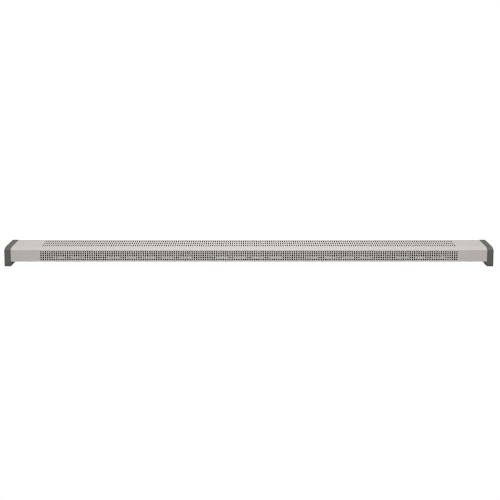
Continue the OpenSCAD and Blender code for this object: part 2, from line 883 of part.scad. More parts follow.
module cord_clamp() {
  arch = grommet_r + 0.5;
  color("dimgray") difference() {
    translate([clamp_x, clamp_y + clamp_w / 2, floor_z]) rotate([90, 0, 0]) linear_extrude(height = clamp_w)
      difference() {
        union() {
          translate([-clamp_span / 2, 0]) square([clamp_span, clamp_t]);
          translate([-arch - clamp_t, 0]) square([2 * (arch + clamp_t), arch]);
          translate([0, arch]) circle(r = arch + clamp_t);
        }
        translate([0, arch]) circle(r = arch);
        translate([-arch, -over]) square([2 * arch, arch + over]);
      }
    for (p = clamp_screw_at) {
      translate([p[0], p[1], floor_z - over]) cylinder(r = small_r + hole_fit, h = clamp_t + 2 * over);
    }
  }
}

module clamp_screws() {
  color("silver") for (p = clamp_screw_at) {
    translate([p[0], p[1], base_z - 3]) cylinder(r = small_r, h = 3 + plate + clamp_t + 0.5);
    translate([p[0], p[1], floor_z + clamp_t]) slotted_head(small_head_r, small_head_h);
  }
}

// Fasteners of the casing
module cap_screw_set() {
  for (p = cap_screw_at) {
    translate([0, p[0], p[1]]) {
      bar_x(screw_r, end_x - plate - 0.5, end_x + 15);
      bar_x(screw_head_r, end_x - plate - screw_head_h, end_x - plate);
    }
  }
}

module cap_screws() {
  color("silver") {
    cap_screw_set();
    mirrored_right() cap_screw_set();
  }
}

module cover_screws() {
  color("silver") for (x = cover_screw_x) {
    translate([x, cover_screw_y, low_z - screw_head_h]) {
      cylinder(r = screw_head_r, h = screw_head_h);
      cylinder(r = screw_r, h = screw_head_h + sheet + plate + 5);
    }
  }
}

// Rivets: those along the back, and those under every folded foot
support_foot = support_w / 2 - 5;
shield_rivet_x = [for (k = [-1.5 : 1 : 1.5]) k * chamber_x / 2];
shield_rivet_y = shield_y + shield_gap / 2 - 1;
upright_rivet_x = [for (x = [end_x - plate - foot_w / 2, wall_x - plate - foot_w / 2]) each [-x, x]];
base_rivet_at = concat(
  [for (x = upright_rivet_x) for (y = foot_rivet_y) [x, y, plate]],
  [for (x = support_x) for (s = [-1, 1]) [x + foot_w / 2, element_y + s * support_foot, support_t]],
  [for (x = shield_rivet_x) [x, shield_rivet_y, shield_t]]
);

module chassis_rivets() {
  color("silver") {
    for (x = back_rivet_x) {
      translate([x, 0, back_rivet_z]) {
        bar_y(rivet_r, back_in - plate - 1.5, back_out + 0.1);
        bar_y(rivet_head_r, back_out, back_out + rivet_head_h);
        bar_y(rivet_r + 0.8, back_in - plate - 1.5, back_in - plate);
      }
    }
    for (p = base_rivet_at) {
      translate([p[0], p[1], base_z - rivet_head_h]) {
        cylinder(r = rivet_head_r, h = rivet_head_h);
        cylinder(r = rivet_r, h = rivet_head_h + plate + p[2] + 1);
      }
      translate([p[0], p[1], floor_z + p[2]]) cylinder(r = rivet_r + 0.8, h = 1.2);
    }
  }
}

cover();
base_plate();
back_plate();
left_end_cap();
right_end_cap();
left_end_plate();
right_end_plate();
left_bulkhead();
right_bulkhead();
heat_shield();
heating_element();
element_fins();
element_supports();
element_bushes();
element_nuts();
pin_insulators();
pin_nuts();
thermal_cutout();
cutout_screws();
terminal_block();
terminal_screws();
block_screws();
live_wire();
link_wire();
neutral_wire();
earth_wire();
wire_lugs();
earth_stud();
earth_nuts();
cable_grommet();
cord_clamp();
clamp_screws();
cap_screws();
cover_screws();
chassis_rivets();
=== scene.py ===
# %% [markdown]
# # A long, low electric convector heater
# The heater stands on two dark moulded end caps. Between them runs one folded sheet of
# powder-coated steel, with round holes punched in its front and slots in its top. The CAD
# model holds every piece, so this lesson loads it as a fixed frame, gives each piece the
# finish it has on the real heater, and makes the pieces anew where the eye wants softer
# edges and rounder bends than flat facets can give.

import json
import math

import bmesh
import bpy
import numpy as np
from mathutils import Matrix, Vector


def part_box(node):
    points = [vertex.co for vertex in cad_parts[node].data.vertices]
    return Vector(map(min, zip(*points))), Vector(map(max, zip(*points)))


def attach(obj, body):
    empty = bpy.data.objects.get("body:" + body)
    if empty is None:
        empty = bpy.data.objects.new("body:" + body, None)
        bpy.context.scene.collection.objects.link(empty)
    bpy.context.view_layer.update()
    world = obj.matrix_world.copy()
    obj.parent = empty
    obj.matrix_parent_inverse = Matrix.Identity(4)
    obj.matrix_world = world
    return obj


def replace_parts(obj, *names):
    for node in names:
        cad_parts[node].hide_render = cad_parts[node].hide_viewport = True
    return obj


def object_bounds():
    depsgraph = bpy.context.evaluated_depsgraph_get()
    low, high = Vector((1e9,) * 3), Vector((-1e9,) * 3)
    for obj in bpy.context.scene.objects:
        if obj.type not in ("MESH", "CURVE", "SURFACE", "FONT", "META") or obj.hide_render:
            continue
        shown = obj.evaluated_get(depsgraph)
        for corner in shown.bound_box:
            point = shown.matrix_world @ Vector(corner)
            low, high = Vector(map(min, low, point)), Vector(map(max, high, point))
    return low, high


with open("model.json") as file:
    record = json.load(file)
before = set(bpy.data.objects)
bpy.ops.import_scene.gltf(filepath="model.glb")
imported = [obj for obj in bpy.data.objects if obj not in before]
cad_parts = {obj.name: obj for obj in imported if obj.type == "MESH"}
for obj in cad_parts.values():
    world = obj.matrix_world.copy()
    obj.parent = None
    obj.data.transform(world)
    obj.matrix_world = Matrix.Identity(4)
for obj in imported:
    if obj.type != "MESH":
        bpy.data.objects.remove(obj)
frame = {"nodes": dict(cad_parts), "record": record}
cad_low, cad_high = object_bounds()
nodes = frame["nodes"]
slot_of = {row["node"]: row["material_slot"] for row in frame["record"]["subparts"]}
scene = bpy.context.scene
print("nodes", len(nodes), "box in mm", [round(1000 * (b - a), 1) for a, b in zip(cad_low, cad_high)])
for name, piece in sorted(nodes.items()):
    print("  ", name, len(piece.data.polygons), "faces, finish", slot_of[name])

# %% [markdown]
# ### Sizes from the frame
# A new piece has to stand exactly where its solid stands. Its sizes could be typed in again,
# but then they go wrong as soon as the solid changes. So they are read from the boxes of the
# nodes, and rounded to a micrometre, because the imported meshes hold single-precision numbers.
# To measure the cover takes a second, so each box is measured once and then kept.

# %% Read a side of a node's box
LOW, HIGH = 0, 1
X, Y, Z = 0, 1, 2
corners = {}


def side_of(node, end, axis):
    """Where a node's box ends: its low or high side along one axis, in metres."""
    if node not in corners:
        corners[node] = np.array(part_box(node), float).round(6)
    return float(corners[node][end][axis])


depth, height = (round(float(cad_high[axis] - cad_low[axis]), 6) for axis in (Y, Z))
casing_x, rear_y, top_z = (side_of("cover", HIGH, axis) for axis in (X, Y, Z))
front_y, low_z = side_of("cover", LOW, Y), side_of("cover", LOW, Z)
print("casing: half length", casing_x, "front", front_y, "rear", rear_y, "from", low_z, "to", top_z)

# %% [markdown]
# ## The camera
# The photograph was taken from a few metres away with a long lens, a little above the
# heater. The camera could be moved by eye until the picture fits, but then nothing says when
# it is right. The pitch of the punched holes gives a scale instead: with a frame 500 pixels
# wide, a camera 5 m off that looks 9.6 degrees down puts the end caps, the grilles and the
# floor line where the photograph has them.

# %% Place the camera
focal_px, frame_px, sensor_mm = 1400.0, 500.0, 36.0
stand_off, pitch = 5.031, math.radians(9.6)
aim = np.array([0.00387, -0.0925, 0.0600])
sight = np.array([0.0, math.cos(pitch), -math.sin(pitch)])
eye = aim - stand_off * sight

camera_data = bpy.data.cameras.new("studio_camera")
camera_data.sensor_width = sensor_mm
camera_data.lens = sensor_mm * focal_px / frame_px
camera_data.clip_end = 100.0
camera = bpy.data.objects.new("studio_camera", camera_data)
camera.location = eye
camera.rotation_euler = (math.pi / 2 - pitch, 0.0, 0.0)
scene.collection.objects.link(camera)
bpy.context.scene.camera = camera
print("camera at", [round(float(at), 3) for at in eye], "lens", round(camera_data.lens, 1), "mm")

# %% [markdown]
# ## The light
# A product shot on white has one broad, soft light over the object and a bright sweep under
# it. A picture of a studio wrapped round the scene could light it as well, but an even sky
# and one area light are enough and have only two strengths to set. The lamp is shorter than
# the heater, so the casing is a little brighter in the middle than at its ends.
#
# The photograph was made small, so each of its pixels is the plain mean of all that it
# covers. A box filter does the same. The holes are smaller than a pixel, and the denoiser
# keeps them when its guides aren't smoothed first.

# %% Set the studio
scene.view_settings.view_transform = "Standard"
scene.view_settings.look = "None"
scene.cycles.pixel_filter_type = "BOX"
scene.cycles.denoising_prefilter = "NONE"

sky = bpy.data.worlds.new("studio_sky")
sky.use_nodes = True
sky_light = sky.node_tree.nodes["Background"]
sky_light.inputs["Color"].default_value = (1.0, 1.0, 1.0, 1.0)
sky_light.inputs["Strength"].default_value = 0.29
scene.world = sky

soft_box = bpy.data.lights.new("overhead_soft_box", "AREA")
soft_box.shape = "RECTANGLE"
soft_box.size, soft_box.size_y = 2.0, 1.2
soft_box.energy = 48.0
lamp = bpy.data.objects.new("overhead_soft_box", soft_box)
lamp.location = (0.0, 0.0, 2.2)
scene.collection.objects.link(lamp)
print("soft box", round(soft_box.size, 2), "by", round(soft_box.size_y, 2), "m, facing down")

# %% [markdown]
# ## Shader sums written as Python
# A finish is a small network of nodes, and most of it is arithmetic. The nodes could be
# added and linked one by one, but ten lines of links hide a sum that fits on one. Wrapping a
# socket in a class that knows + - * lets the network be written as the sum that it is. Every
# other node comes from one method, which sets the node's choices first and its sockets after.

# %% A socket that can be reckoned with
class Wire:
    """One output of a node. A sum, difference or product with it adds a Math node."""

    def __init__(self, recipe, socket):
        self.recipe, self.socket = recipe, socket

    def output(self, name):
        """Another output of the same node."""
        return Wire(self.recipe, self.socket.node.outputs[name])

    def __add__(self, other):
        return self.recipe.maths("ADD", self, other)

    def __radd__(self, other):
        return self.recipe.maths("ADD", other, self)

    def __sub__(self, other):
        return self.recipe.maths("SUBTRACT", self, other)

    def __rsub__(self, other):
        return self.recipe.maths("SUBTRACT", other, self)

    def __mul__(self, other):
        return self.recipe.maths("MULTIPLY", self, other)

    def __rmul__(self, other):
        return self.recipe.maths("MULTIPLY", other, self)


# %% A finish as a recipe
class Recipe:
    """The node network of one finish, which ends in one Principled shader."""

    def __init__(self, name):
        self.material = bpy.data.materials.new(name)
        self.material.use_nodes = True
        self.tree = self.material.node_tree
        self.tree.nodes.clear()

    def node(self, kind, settings=None, *values, **named):
        """Adds a node: its settings, then values in the order of its sockets, then named
        values by the socket's name, where a_b stands for "A B". Of sockets with one name,
        the first that is in use counts."""
        made = self.tree.nodes.new(kind)
        for key, value in (settings or {}).items():
            setattr(made, key, value)
        by_name = {s.name.lower().replace(" ", "_"): s for s in reversed(made.inputs) if s.enabled}
        filled = list(zip(made.inputs, values)) + [(by_name[key], value) for key, value in named.items()]
        for socket, value in filled:
            if isinstance(value, Wire):
                self.tree.links.new(value.socket, socket)
            else:
                socket.default_value = value
        shown = [s for s in made.outputs if s.enabled]
        return Wire(self, shown[0]) if shown else None

    def maths(self, operation, *values):
        """A Math node."""
        return self.node("ShaderNodeMath", {"operation": operation}, *values)

    def place(self, across=(1.0, 1.0, 1.0)):
        """Object coordinates in metres, stretched along the axes by across."""
        at = self.node("ShaderNodeTexCoord").output("Object")
        return self.node("ShaderNodeMapping", vector=at, scale=across)

    def noise(self, scale, detail=2.0, across=(1.0, 1.0, 1.0), roughness=0.5):
        """Cloudy noise from 0 to 1; scale is in cells a metre."""
        return self.node("ShaderNodeTexNoise", vector=self.place(across), scale=scale, detail=detail,
                         roughness=roughness)

    def crystals(self, scale, ragged):
        """One random grey from 0 to 1 for each cell of a Voronoi pattern, scale cells a metre.
        Noise moves the place by up to ragged metres, which roughens the borders."""
        rough = self.node("ShaderNodeTexNoise", vector=self.place(), scale=3.0 * scale, detail=4.0)
        at = self.node("ShaderNodeVectorMath", {"operation": "MULTIPLY_ADD"}, rough.output("Color"),
                       (ragged, ragged, ragged), self.place())
        cell = self.node("ShaderNodeTexVoronoi", vector=at, scale=scale)
        return self.node("ShaderNodeSeparateColor", None, cell.output("Color"))

    def blend(self, share, low, high):
        """A colour between low and high, by share from 0 to 1."""
        low, high = (end if isinstance(end, Wire) else (*end, 1.0) for end in (low, high))
        return self.node("ShaderNodeMix", {"data_type": "RGBA"}, factor=share, a=low, b=high)

    def ridge(self, relief, peak):
        """A bump: relief from 0 to 1 stands for peak metres."""
        return self.node("ShaderNodeBump", height=relief, distance=peak, strength=1.0)

    def surface(self, **named):
        """Ends the network in a Principled shader and returns the material."""
        shader = self.node("ShaderNodeBsdfPrincipled", **named)
        self.node("ShaderNodeOutputMaterial", None, shader)
        print("finish", self.material.name, "has", len(self.tree.nodes), "nodes")
        return self.material


def tone(red, green, blue):
    """An sRGB colour, 0 to 255, as the linear light that a shader works in. A share c of 255
    gives ((c + 0.055) / 1.055) to the power 2.4, but c / 12.92 where it is nearly black."""
    share = np.array([red, green, blue]) / 255.0
    return tuple(np.where(share <= 0.04045, share / 12.92, ((share + 0.055) / 1.055) ** 2.4))


print("an sRGB grey of 128 is", round(float(tone(128, 128, 128)[0]), 3), "in linear light")


# %% [markdown]
# ## The floor
# The floor of a product shot is lit until it is pure white, and the heater casts no shadow
# that the camera can see. One white floor can't do that: it either shows shadows, or glows so
# much that it lights the casing from below. So two surfaces share the work. A white bowl,
# flat in the middle and turned up all round, is what the camera sees, from any side. A pale
# floor in the same plane is what the heater sees: it takes the lamp's light, goes dark under
# the feet as any floor does, and throws the rest up at the casing.

# %% Turn a profile round
def turned_surface(name, profile, turns=48):
    """A profile (radius, height) carried once round the vertical axis: radius * (cos a, sin a).
    Its first ring is closed by one face."""
    a = np.linspace(0, 2 * math.pi, turns, endpoint=False)
    radius, level = np.array(profile).T
    points = np.stack([np.outer(radius, np.cos(a)), np.outer(radius, np.sin(a)),
                       np.outer(level, np.ones(turns))], 2).reshape(-1, 3)
    ring_at, step = np.meshgrid(np.arange(len(radius) - 1) * turns, np.arange(turns), indexing="ij")
    after = (step + 1) % turns
    faces = np.stack([ring_at + step, ring_at + turns + step, ring_at + turns + after, ring_at + after], 2)
    mesh = bpy.data.meshes.new(name)
    mesh.from_pydata(points.tolist(), [], [list(range(turns)), *faces.reshape(-1, 4).tolist()])
    mesh.shade_smooth()
    piece = bpy.data.objects.new(name, mesh)
    scene.collection.objects.link(piece)
    print(name, len(mesh.polygons), "faces, radius", profile[-1][0], "m")
    return piece


# %% Make the bowl and the floor
centre_r, flat_r, turn_r, wall_top = 0.01, 9.0, 2.0, 9.0
bend = np.linspace(0, math.pi / 2, 9)
turned_up = zip(flat_r + turn_r * np.sin(bend), turn_r - turn_r * np.cos(bend))
rim_r = flat_r + turn_r
bowl = turned_surface("white_bowl", [(centre_r, 0.0), (flat_r, 0.0), *turned_up, (rim_r, wall_top)])
bowl.data.materials.append(Recipe("white_bowl").surface(
    base_color=(0.0, 0.0, 0.0, 1.0), roughness=1.0, specular_ior_level=0.0,
    emission_color=(1.0, 1.0, 1.0, 1.0), emission_strength=1.0))
bowl.visible_diffuse = False
bowl.visible_glossy = False
bowl.visible_transmission = False
bowl.visible_shadow = False

ground = turned_surface("pale_floor", [(centre_r, 0.0), (rim_r, 0.0)])
ground.data.materials.append(Recipe("pale_floor").surface(
    base_color=(0.8, 0.8, 0.8, 1.0), roughness=0.9,
    emission_color=(1.0, 1.0, 1.0, 1.0), emission_strength=0.24))
ground.visible_camera = False

# %% [markdown]
# ## Powder coat
# The casing is steel with a baked powder paint: one even pale colour with a satin gloss
# and a fine, soft orange peel from the powder flowing together in the oven. The peel could be
# modelled, but its waves are a millimetre or two across and a few hundredths high, so bump
# shows it as well. A slow cloud of slightly deeper colour stands for the film's uneven
# thickness.

# %% Mix the powder coat
finishes = {}


def powder_coat(name, thick_film, thin_film):
    """Satin paint: a slow cloud for the colour and gloss, two sizes of noise for the peel."""
    paint = Recipe(name)
    cloud = paint.noise(9.0, 3.0)
    peel = paint.noise(520.0, 1.0) * 0.75 + paint.noise(1500.0, 1.0) * 0.25
    return paint.surface(base_color=paint.blend(cloud, thick_film, thin_film), roughness=0.42 + 0.06 * cloud,
                         ior=1.5, normal=paint.ridge(peel, 0.00006))


finishes["cover"] = powder_coat("powder_coat", tone(205, 200, 196), tone(209, 204, 200))

# %% [markdown]
# ## Moulded plastic
# The end caps are injection moulded in a dark grey plastic. The tool was spark eroded, so
# the skin has a fine, even grain that breaks up every reflection. Noise with a millimetre
# to a cell gives the grain. It hardly leaves its middle value by itself, so it is stretched
# about that. It also makes the tops of the grain smoother, and paints them a touch lighter and
# the hollows darker: painted light and painted shade that follow the relief. The small
# mouldings inside are the same plastic sums with other colours and a finer skin.

# %% Mix the moulded plastics
def moulded(name, shaded_hollows, lit_tops, grain, gloss):
    """Grained plastic: noise stretched to twice its range sets colour, gloss and relief; its low places are
    painted darker, as painted shade, and its high places lighter, as painted light.
    """
    plastic = Recipe(name)
    skin = (plastic.noise(1000.0, 3.0) - 0.5) * 2.0 + 0.5
    # Painted shade and light: the grain's low places take the darker colour and its high places the lighter
    # one, in step with the bump.
    return plastic.surface(base_color=plastic.blend(skin, shaded_hollows, lit_tops),
                           roughness=gloss + 0.2 * (1.0 - skin), normal=plastic.ridge(skin, grain))


finishes["caps"] = moulded("dark_moulded_plastic", tone(92, 92, 91), tone(105, 105, 104), 0.00007, 0.6)
finishes["cutout"] = moulded("black_phenolic", tone(26, 25, 25), tone(38, 37, 36), 0.00002, 0.35)
finishes["block"] = moulded("white_nylon", tone(221, 218, 209), tone(226, 224, 216), 0.00001, 0.4)
finishes["clamp"] = moulded("black_nylon", tone(34, 34, 35), tone(44, 44, 45), 0.00002, 0.45)

# %% [markdown]
# ## Zinc-coated sheet
# The chassis is zinc-coated steel: the zinc freezes in flat crystals some six millimetres
# across, each with its own grey and gloss. Plain noise has no such borders. A Voronoi pattern
# does, and gives one random grey to each crystal. The crystals grow as feathers, so their
# borders are made ragged, and finer cells inside them share a third of the grey. The walls at
# the ends of the heated chamber have the same zinc with painted shade on their inner side
# alone, a darker grey that stands for shadow there, so the finish asks how far a point is from the heater's
# middle.

# %% Mix the zinc
def galvanised(name, shade_within=None):
    """Zinc crystals, 6 and 1 mm across. Painted shade, mottled by the grime noise, darkens them
    where the distance from the middle of the heater, the size of x, is less than shade_within metres."""
    zinc = Recipe(name)
    crystal = zinc.crystals(150.0, 0.004) * 0.68 + zinc.crystals(900.0, 0.001) * 0.32
    grime_and_shade = zinc.noise(14.0, 4.0)
    colour = zinc.blend(crystal, tone(176, 180, 184), tone(206, 209, 212))
    if shade_within:
        along = zinc.node("ShaderNodeSeparateXYZ", None, zinc.place())
        shaded = zinc.maths("LESS_THAN", zinc.maths("ABSOLUTE", along), shade_within)
        # Painted shade: the inner side of the chamber walls is blended towards a dark grey, mottled by the
        # grime noise.
        colour = zinc.blend(shaded * (0.75 + 0.25 * grime_and_shade), colour, tone(52, 51, 50))
    return zinc.surface(base_color=colour, metallic=0.3, roughness=0.5 + 0.16 * crystal + 0.1 * grime_and_shade,
                        normal=zinc.ridge(crystal, 0.00001))


inside_wall = side_of("right_bulkhead", HIGH, X) - 0.00045
finishes["chassis"] = galvanised("galvanised_sheet")
shade_painted_sheet = galvanised("heat_tinted_sheet", inside_wall)
print("painted shade within", round(inside_wall, 5), "m of the middle")

# %% [markdown]
# ## Rolled and turned metal
# Bright aluminised sheet has no crystals but fine lines along the rolling direction, and so
# have the thin fins, across the heater. An anisotropic shader could streak their gloss, but
# the lines themselves are simpler: noise stretched thirty times along one axis. Small turned
# and plated parts have faint rings and handling marks instead. The element's steel sheath
# has gone brown-grey with heat, blotched along its length.

# %% Mix the other metals
def rolled(name, dark, light, gloss, across, metallic):
    """Noise stretched by across, 60 cells a metre, for colour, gloss and relief."""
    metal = Recipe(name)
    lines = metal.noise(60.0, 4.0, across, 0.7)
    return metal.surface(base_color=metal.blend(lines, dark, light), metallic=metallic,
                         roughness=gloss + 0.15 * lines, normal=metal.ridge(lines, 0.00001))


def turned(name, dark, light, gloss):
    """Wear of 4 mm blotches for colour and gloss, finer noise for the marks of the tool."""
    metal = Recipe(name)
    wear = metal.noise(260.0, 4.0)
    scratches = metal.noise(900.0, 2.0, (1.0, 1.0, 4.0))
    return metal.surface(base_color=metal.blend(wear, dark, light), metallic=1.0,
                         roughness=gloss + 0.2 * wear, normal=metal.ridge(scratches, 0.00001))


def scaled_tube(name, dark, light):
    """Blotches twice as long as wide, over a fine scale of oxide."""
    metal = Recipe(name)
    blotch = metal.noise(35.0, 5.0, (0.5, 1.0, 1.0))
    return metal.surface(base_color=metal.blend(blotch, dark, light), metallic=0.8,
                         roughness=0.45 + 0.25 * blotch, normal=metal.ridge(metal.noise(1500.0), 0.00002))


lengthwise, crosswise = (1.0, 30.0, 30.0), (30.0, 1.0, 30.0)
finishes["shield"] = rolled("bright_aluminised_sheet", tone(212, 212, 210), tone(224, 224, 222), 0.45,
                            lengthwise, 0.2)
finishes["fins"] = rolled("blackened_fins", tone(62, 61, 60), tone(82, 80, 78), 0.5, crosswise, 1.0)
finishes["tube"] = scaled_tube("heat_scaled_tube", tone(70, 64, 60), tone(112, 106, 100))
finishes["brass"] = turned("turned_brass", tone(176, 146, 84), tone(206, 178, 112), 0.3)
finishes["fasteners"] = turned("zinc_plate", tone(178, 180, 184), tone(208, 210, 214), 0.26)

# %% [markdown]
# ## Ceramic, rubber and wire
# The small parts of the wiring are a chalky ceramic, a matt rubber and glossy extruded
# plastic. Each is a plain colour that real handling makes slightly uneven. The earth wire
# alone has two colours, in long stripes. A pattern in space can't follow a bent wire, so the
# wire's own mesh carries a number, round, that runs from -1 to 1 round it, and the yellow
# starts where that number passes a threshold.

# %% Mix the small finishes
def plain(name, dark, light, gloss):
    """Clouds of 2.5 mm for colour and gloss, and a quarter of that for the grain."""
    stuff = Recipe(name)
    cloud = stuff.noise(400.0, 3.0)
    return stuff.surface(base_color=stuff.blend(cloud, dark, light), roughness=gloss + 0.12 * cloud,
                         normal=stuff.ridge(stuff.noise(1600.0, 2.0), 0.00002))


def striped(name, ground, stripe, gloss):
    """A sleeve with a stripe along it, where the mesh's own number, round, is above 0.2."""
    sleeve = Recipe(name)
    around = sleeve.node("ShaderNodeAttribute", {"attribute_name": "round"}).output("Fac")
    colour = sleeve.blend(sleeve.maths("GREATER_THAN", around, 0.2), ground, stripe)
    cloud = sleeve.noise(400.0, 3.0)
    return sleeve.surface(base_color=colour, roughness=gloss + 0.12 * cloud,
                          normal=sleeve.ridge(cloud, 0.00002))


finishes["ceramic"] = plain("unglazed_ceramic", tone(222, 216, 202), tone(238, 233, 222), 0.7)
finishes["rubber"] = plain("black_rubber", tone(24, 24, 24), tone(36, 36, 36), 0.65)
finishes["insulation_live"] = plain("brown_sleeve", tone(86, 48, 28), tone(104, 60, 36), 0.3)
finishes["insulation_neutral"] = plain("blue_sleeve", tone(28, 72, 148), tone(40, 88, 168), 0.3)
finishes["insulation_earth"] = striped("green_yellow_sleeve", tone(30, 122, 52), tone(226, 204, 44), 0.3)

# %% [markdown]
# ### Which finish goes where
# The record names a finish for every node. The solids could stay undressed where a new piece
# will stand for them, but then a mistake in a name would show only when everything is done.
# So each solid gets its finish now, and each new piece takes the same one later.

# %% Give every node its finish
for name, piece in nodes.items():
    piece.data.materials.clear()
    piece.data.materials.append(finishes[slot_of[name]])
print("finishes", len(finishes), "on", len(nodes), "nodes")

# %% [markdown]
# ## The folded cover
# On the real heater this is one sheet of 1 mm steel. It is punched while it is flat: five
# rows of round holes for the front and three rows of slots for the top, 188 of each. Then
# it is folded: a rolled lower edge, the front, a long shallow curve, the top and a flange
# down the back. A thin box with 1504 holes cut by booleans would have the shape too, but cuts
# leave slivers that spoil the light on the curve. So the mesh is made as the sheet is. A flat
# pattern is laid out in length x and in distance s across the sheet, every hole in its own
# tile, and one function then folds the pattern into depth and height.

# %% The fold line of the cover
sheet, roll_r, fold_r, lip_w, flange_h = 0.001, 0.005, 0.0016, 0.014, 0.012
proud = height - top_z
band_run, band_rise = 0.044, 0.008
band_r = (band_run ** 2 + band_rise ** 2) / (2 * band_rise)
band_c = np.array([-depth / 2 + band_run, height - band_r])
skin_r = band_r - proud
edge_c = np.array([front_y + fold_r, 0.0])
edge_c[1] = band_c[1] + math.sqrt((skin_r - fold_r) ** 2 - (edge_c[0] - band_c[0]) ** 2)
edge_a = math.atan2(edge_c[1] - band_c[1], edge_c[0] - band_c[0])
roll_c = np.array([front_y + roll_r, low_z + roll_r])

cover_line = [
    ("line", (roll_c[0] + lip_w, low_z), (roll_c[0], low_z)),
    ("arc", roll_c, roll_r, 1.5 * math.pi, math.pi),
    ("line", (front_y, roll_c[1]), (front_y, edge_c[1])),
    ("arc", edge_c, fold_r, math.pi, edge_a),
    ("arc", band_c, skin_r, edge_a, math.pi / 2),
    ("line", (band_c[0], top_z), (rear_y - fold_r, top_z)),
    ("arc", np.array([rear_y - fold_r, top_z - fold_r]), fold_r, math.pi / 2, 0.0),
    ("line", (rear_y, top_z - fold_r), (rear_y, top_z - flange_h)),
]
print("cover: band radius", round(1000 * band_r, 1), "mm, folded", round(180 - math.degrees(edge_a)),
      "degrees back from the front")


# %% Fold a flat sheet
def length_of(part):
    """A line's length, or an arc's: radius times angle."""
    if part[0] == "line":
        return math.dist(part[1], part[2])
    return part[2] * abs(part[4] - part[3])


marks = np.concatenate([[0.0], np.cumsum([length_of(part) for part in cover_line])])
print("cover: flat width", round(1000 * marks[-1], 1), "mm; folds at", (1000 * marks).round(1))


def fold(s):
    """Folds distances s across the flat sheet: (depth, height) and the outward normal.
    A line gives start + t * (end - start), and its normal is the direction turned left. An
    arc gives centre + radius * (cos a, sin a), where a runs evenly between its angles."""
    at, out = np.zeros((len(s), 2)), np.zeros((len(s), 2))
    which = np.clip(np.searchsorted(marks, s, side="right") - 1, 0, len(cover_line) - 1)
    for k, part in enumerate(cover_line):
        here = which == k
        t = ((s[here] - marks[k]) / (marks[k + 1] - marks[k]))[:, None]
        if part[0] == "line":
            start, end = np.array(part[1]), np.array(part[2])
            along = (end - start) / np.linalg.norm(end - start)
            at[here] = start + t * (end - start)
            out[here] = (-along[1], along[0])
        else:
            a = part[3] + t * (part[4] - part[3])
            out[here] = np.hstack([np.cos(a), np.sin(a)])
            at[here] = part[1] + part[2] * out[here]
    return at, out


# %% [markdown]
# ### The tiles
# A tile is the rectangle round one hole. Sixteen points go round its edge and sixteen
# round the hole, and sixteen quads join them. Neighbours share the points on their common
# side. Plain sheet is laid in tiles four columns wide, whose sides take up the points of a
# punched neighbour, so that there is no gap and no hidden corner anywhere.

# %% Count out the holes and slots
columns, pitch_x, pitch_z, slot_pitch = 188, 0.008, 0.0069, 0.0445
hole_r, slot_r, slot_half, tile_half = 0.00275, 0.00175, 0.0155, 0.0163
first_row, first_slot, hole_rows, slot_rows = 0.0086, 0.041, 5, 3
column_x = (np.arange(columns) - (columns - 1) / 2) * pitch_x
edge_x = (np.arange(columns + 1) - columns / 2) * pitch_x
plain_columns = 4
coarse_x = np.concatenate([[-casing_x], edge_x[::plain_columns], [casing_x]])
row_z = low_z + first_row + np.arange(hole_rows) * pitch_z
slot_y = front_y + first_slot + slot_half + np.arange(slot_rows) * slot_pitch
row_s = marks[2] + row_z - roll_c[1]
slot_s = marks[5] + slot_y - band_c[0]
print("cover:", columns * hole_rows, "holes and", columns * slot_rows, "slots")


# %% Draw one tile
def ring(quarter):
    """Mirrors the five points of a quarter turn, from the x axis to the s axis, to all sixteen."""
    q = np.array(quarter)
    return np.concatenate([q, q[3::-1] * (-1, 1), -q[1:], q[3:0:-1] * (1, -1)])


def frame_of(half):
    """The sixteen points on the edge of a tile that is a column wide and twice half high."""
    across = pitch_x / 2
    return ring([(across, 0), (across, half / 2), (across, half), (across / 2, half), (0, half)])


quarter_turn = np.linspace(0, math.pi / 2, 5)
slot_turn = np.linspace(0, math.pi / 2, 4)
round_hole = ring(np.stack([hole_r * np.cos(quarter_turn), hole_r * np.sin(quarter_turn)], 1))
straight = slot_half - slot_r
slot_end = np.stack([slot_r * np.cos(slot_turn), straight + slot_r * np.sin(slot_turn)], 1)
slot_hole = ring(np.concatenate([[(slot_r, 0)], slot_end]))
print("tile:", len(round_hole), "points round a hole,", len(slot_hole), "round a slot")


# %% Lay a row and a plain strip
def punched_row(s, half, hole):
    """Quads between the edge of each tile in one row and the hole in it: a tile's centre plus
    two neighbours on its edge, and the same centre plus the two that face them on the hole."""
    centre = np.stack([column_x, np.full(columns, s)], 1)[:, None, :]
    outside, inside = centre + frame_of(half), centre + hole
    quads = np.stack([outside, np.roll(outside, -1, 1), np.roll(inside, -1, 1), inside], 2)
    return quads.reshape(-1, 4, 2)


def row_ends(s, half):
    """The plain sheet beside a punched row: seven points, of which five are the row's own, at
    s - half, s - half / 2, s, s + half / 2 and s + half. The left end mirrors the right."""
    level = s + half * np.array([-1, -1, -0.5, 0, 0.5, 1, 1])
    beside = np.concatenate([[casing_x], np.full(5, edge_x[-1]), [casing_x]])
    return np.array([np.stack([-beside, level], 1), np.stack([beside, level[::-1]], 1)])


def plain_strip(low, high, low_punched=False, high_punched=False):
    """Plain tiles between two lines: one outline, set down at each tile's start. Its lower side
    runs to the right and its upper side back, with a point every 2 mm beside a punched row."""
    fine = np.arange(4 * plain_columns + 1) * pitch_x / 4
    below, above = (fine if punched else fine[[0, -1]] for punched in (low_punched, high_punched))
    level = np.concatenate([np.full(len(below), low), np.full(len(above), high)])
    outline = np.stack([np.concatenate([below, above[::-1]]), level], 1)
    starts = np.stack([coarse_x[1:-2], 0 * coarse_x[1:-2]], 1)
    ends = [[(a, low), (b, low), (b, high), (a, high)] for a, b in (coarse_x[:2], coarse_x[-2:])]
    return [starts[:, None] + outline, np.array(ends)]


def plain_sheet(start, end, strips, below_slots=False):
    """Plain strips of equal width between two lines. An arc takes several, to look round."""
    levels = np.linspace(start, end, strips + 1)
    laid = []
    for a, b in zip(levels[:-1], levels[1:]):
        laid += plain_strip(a, b, high_punched=below_slots and b == levels[-1])
    return laid


print("tiles: a punched row has", len(punched_row(0.0, pitch_z / 2, round_hole)), "quads")

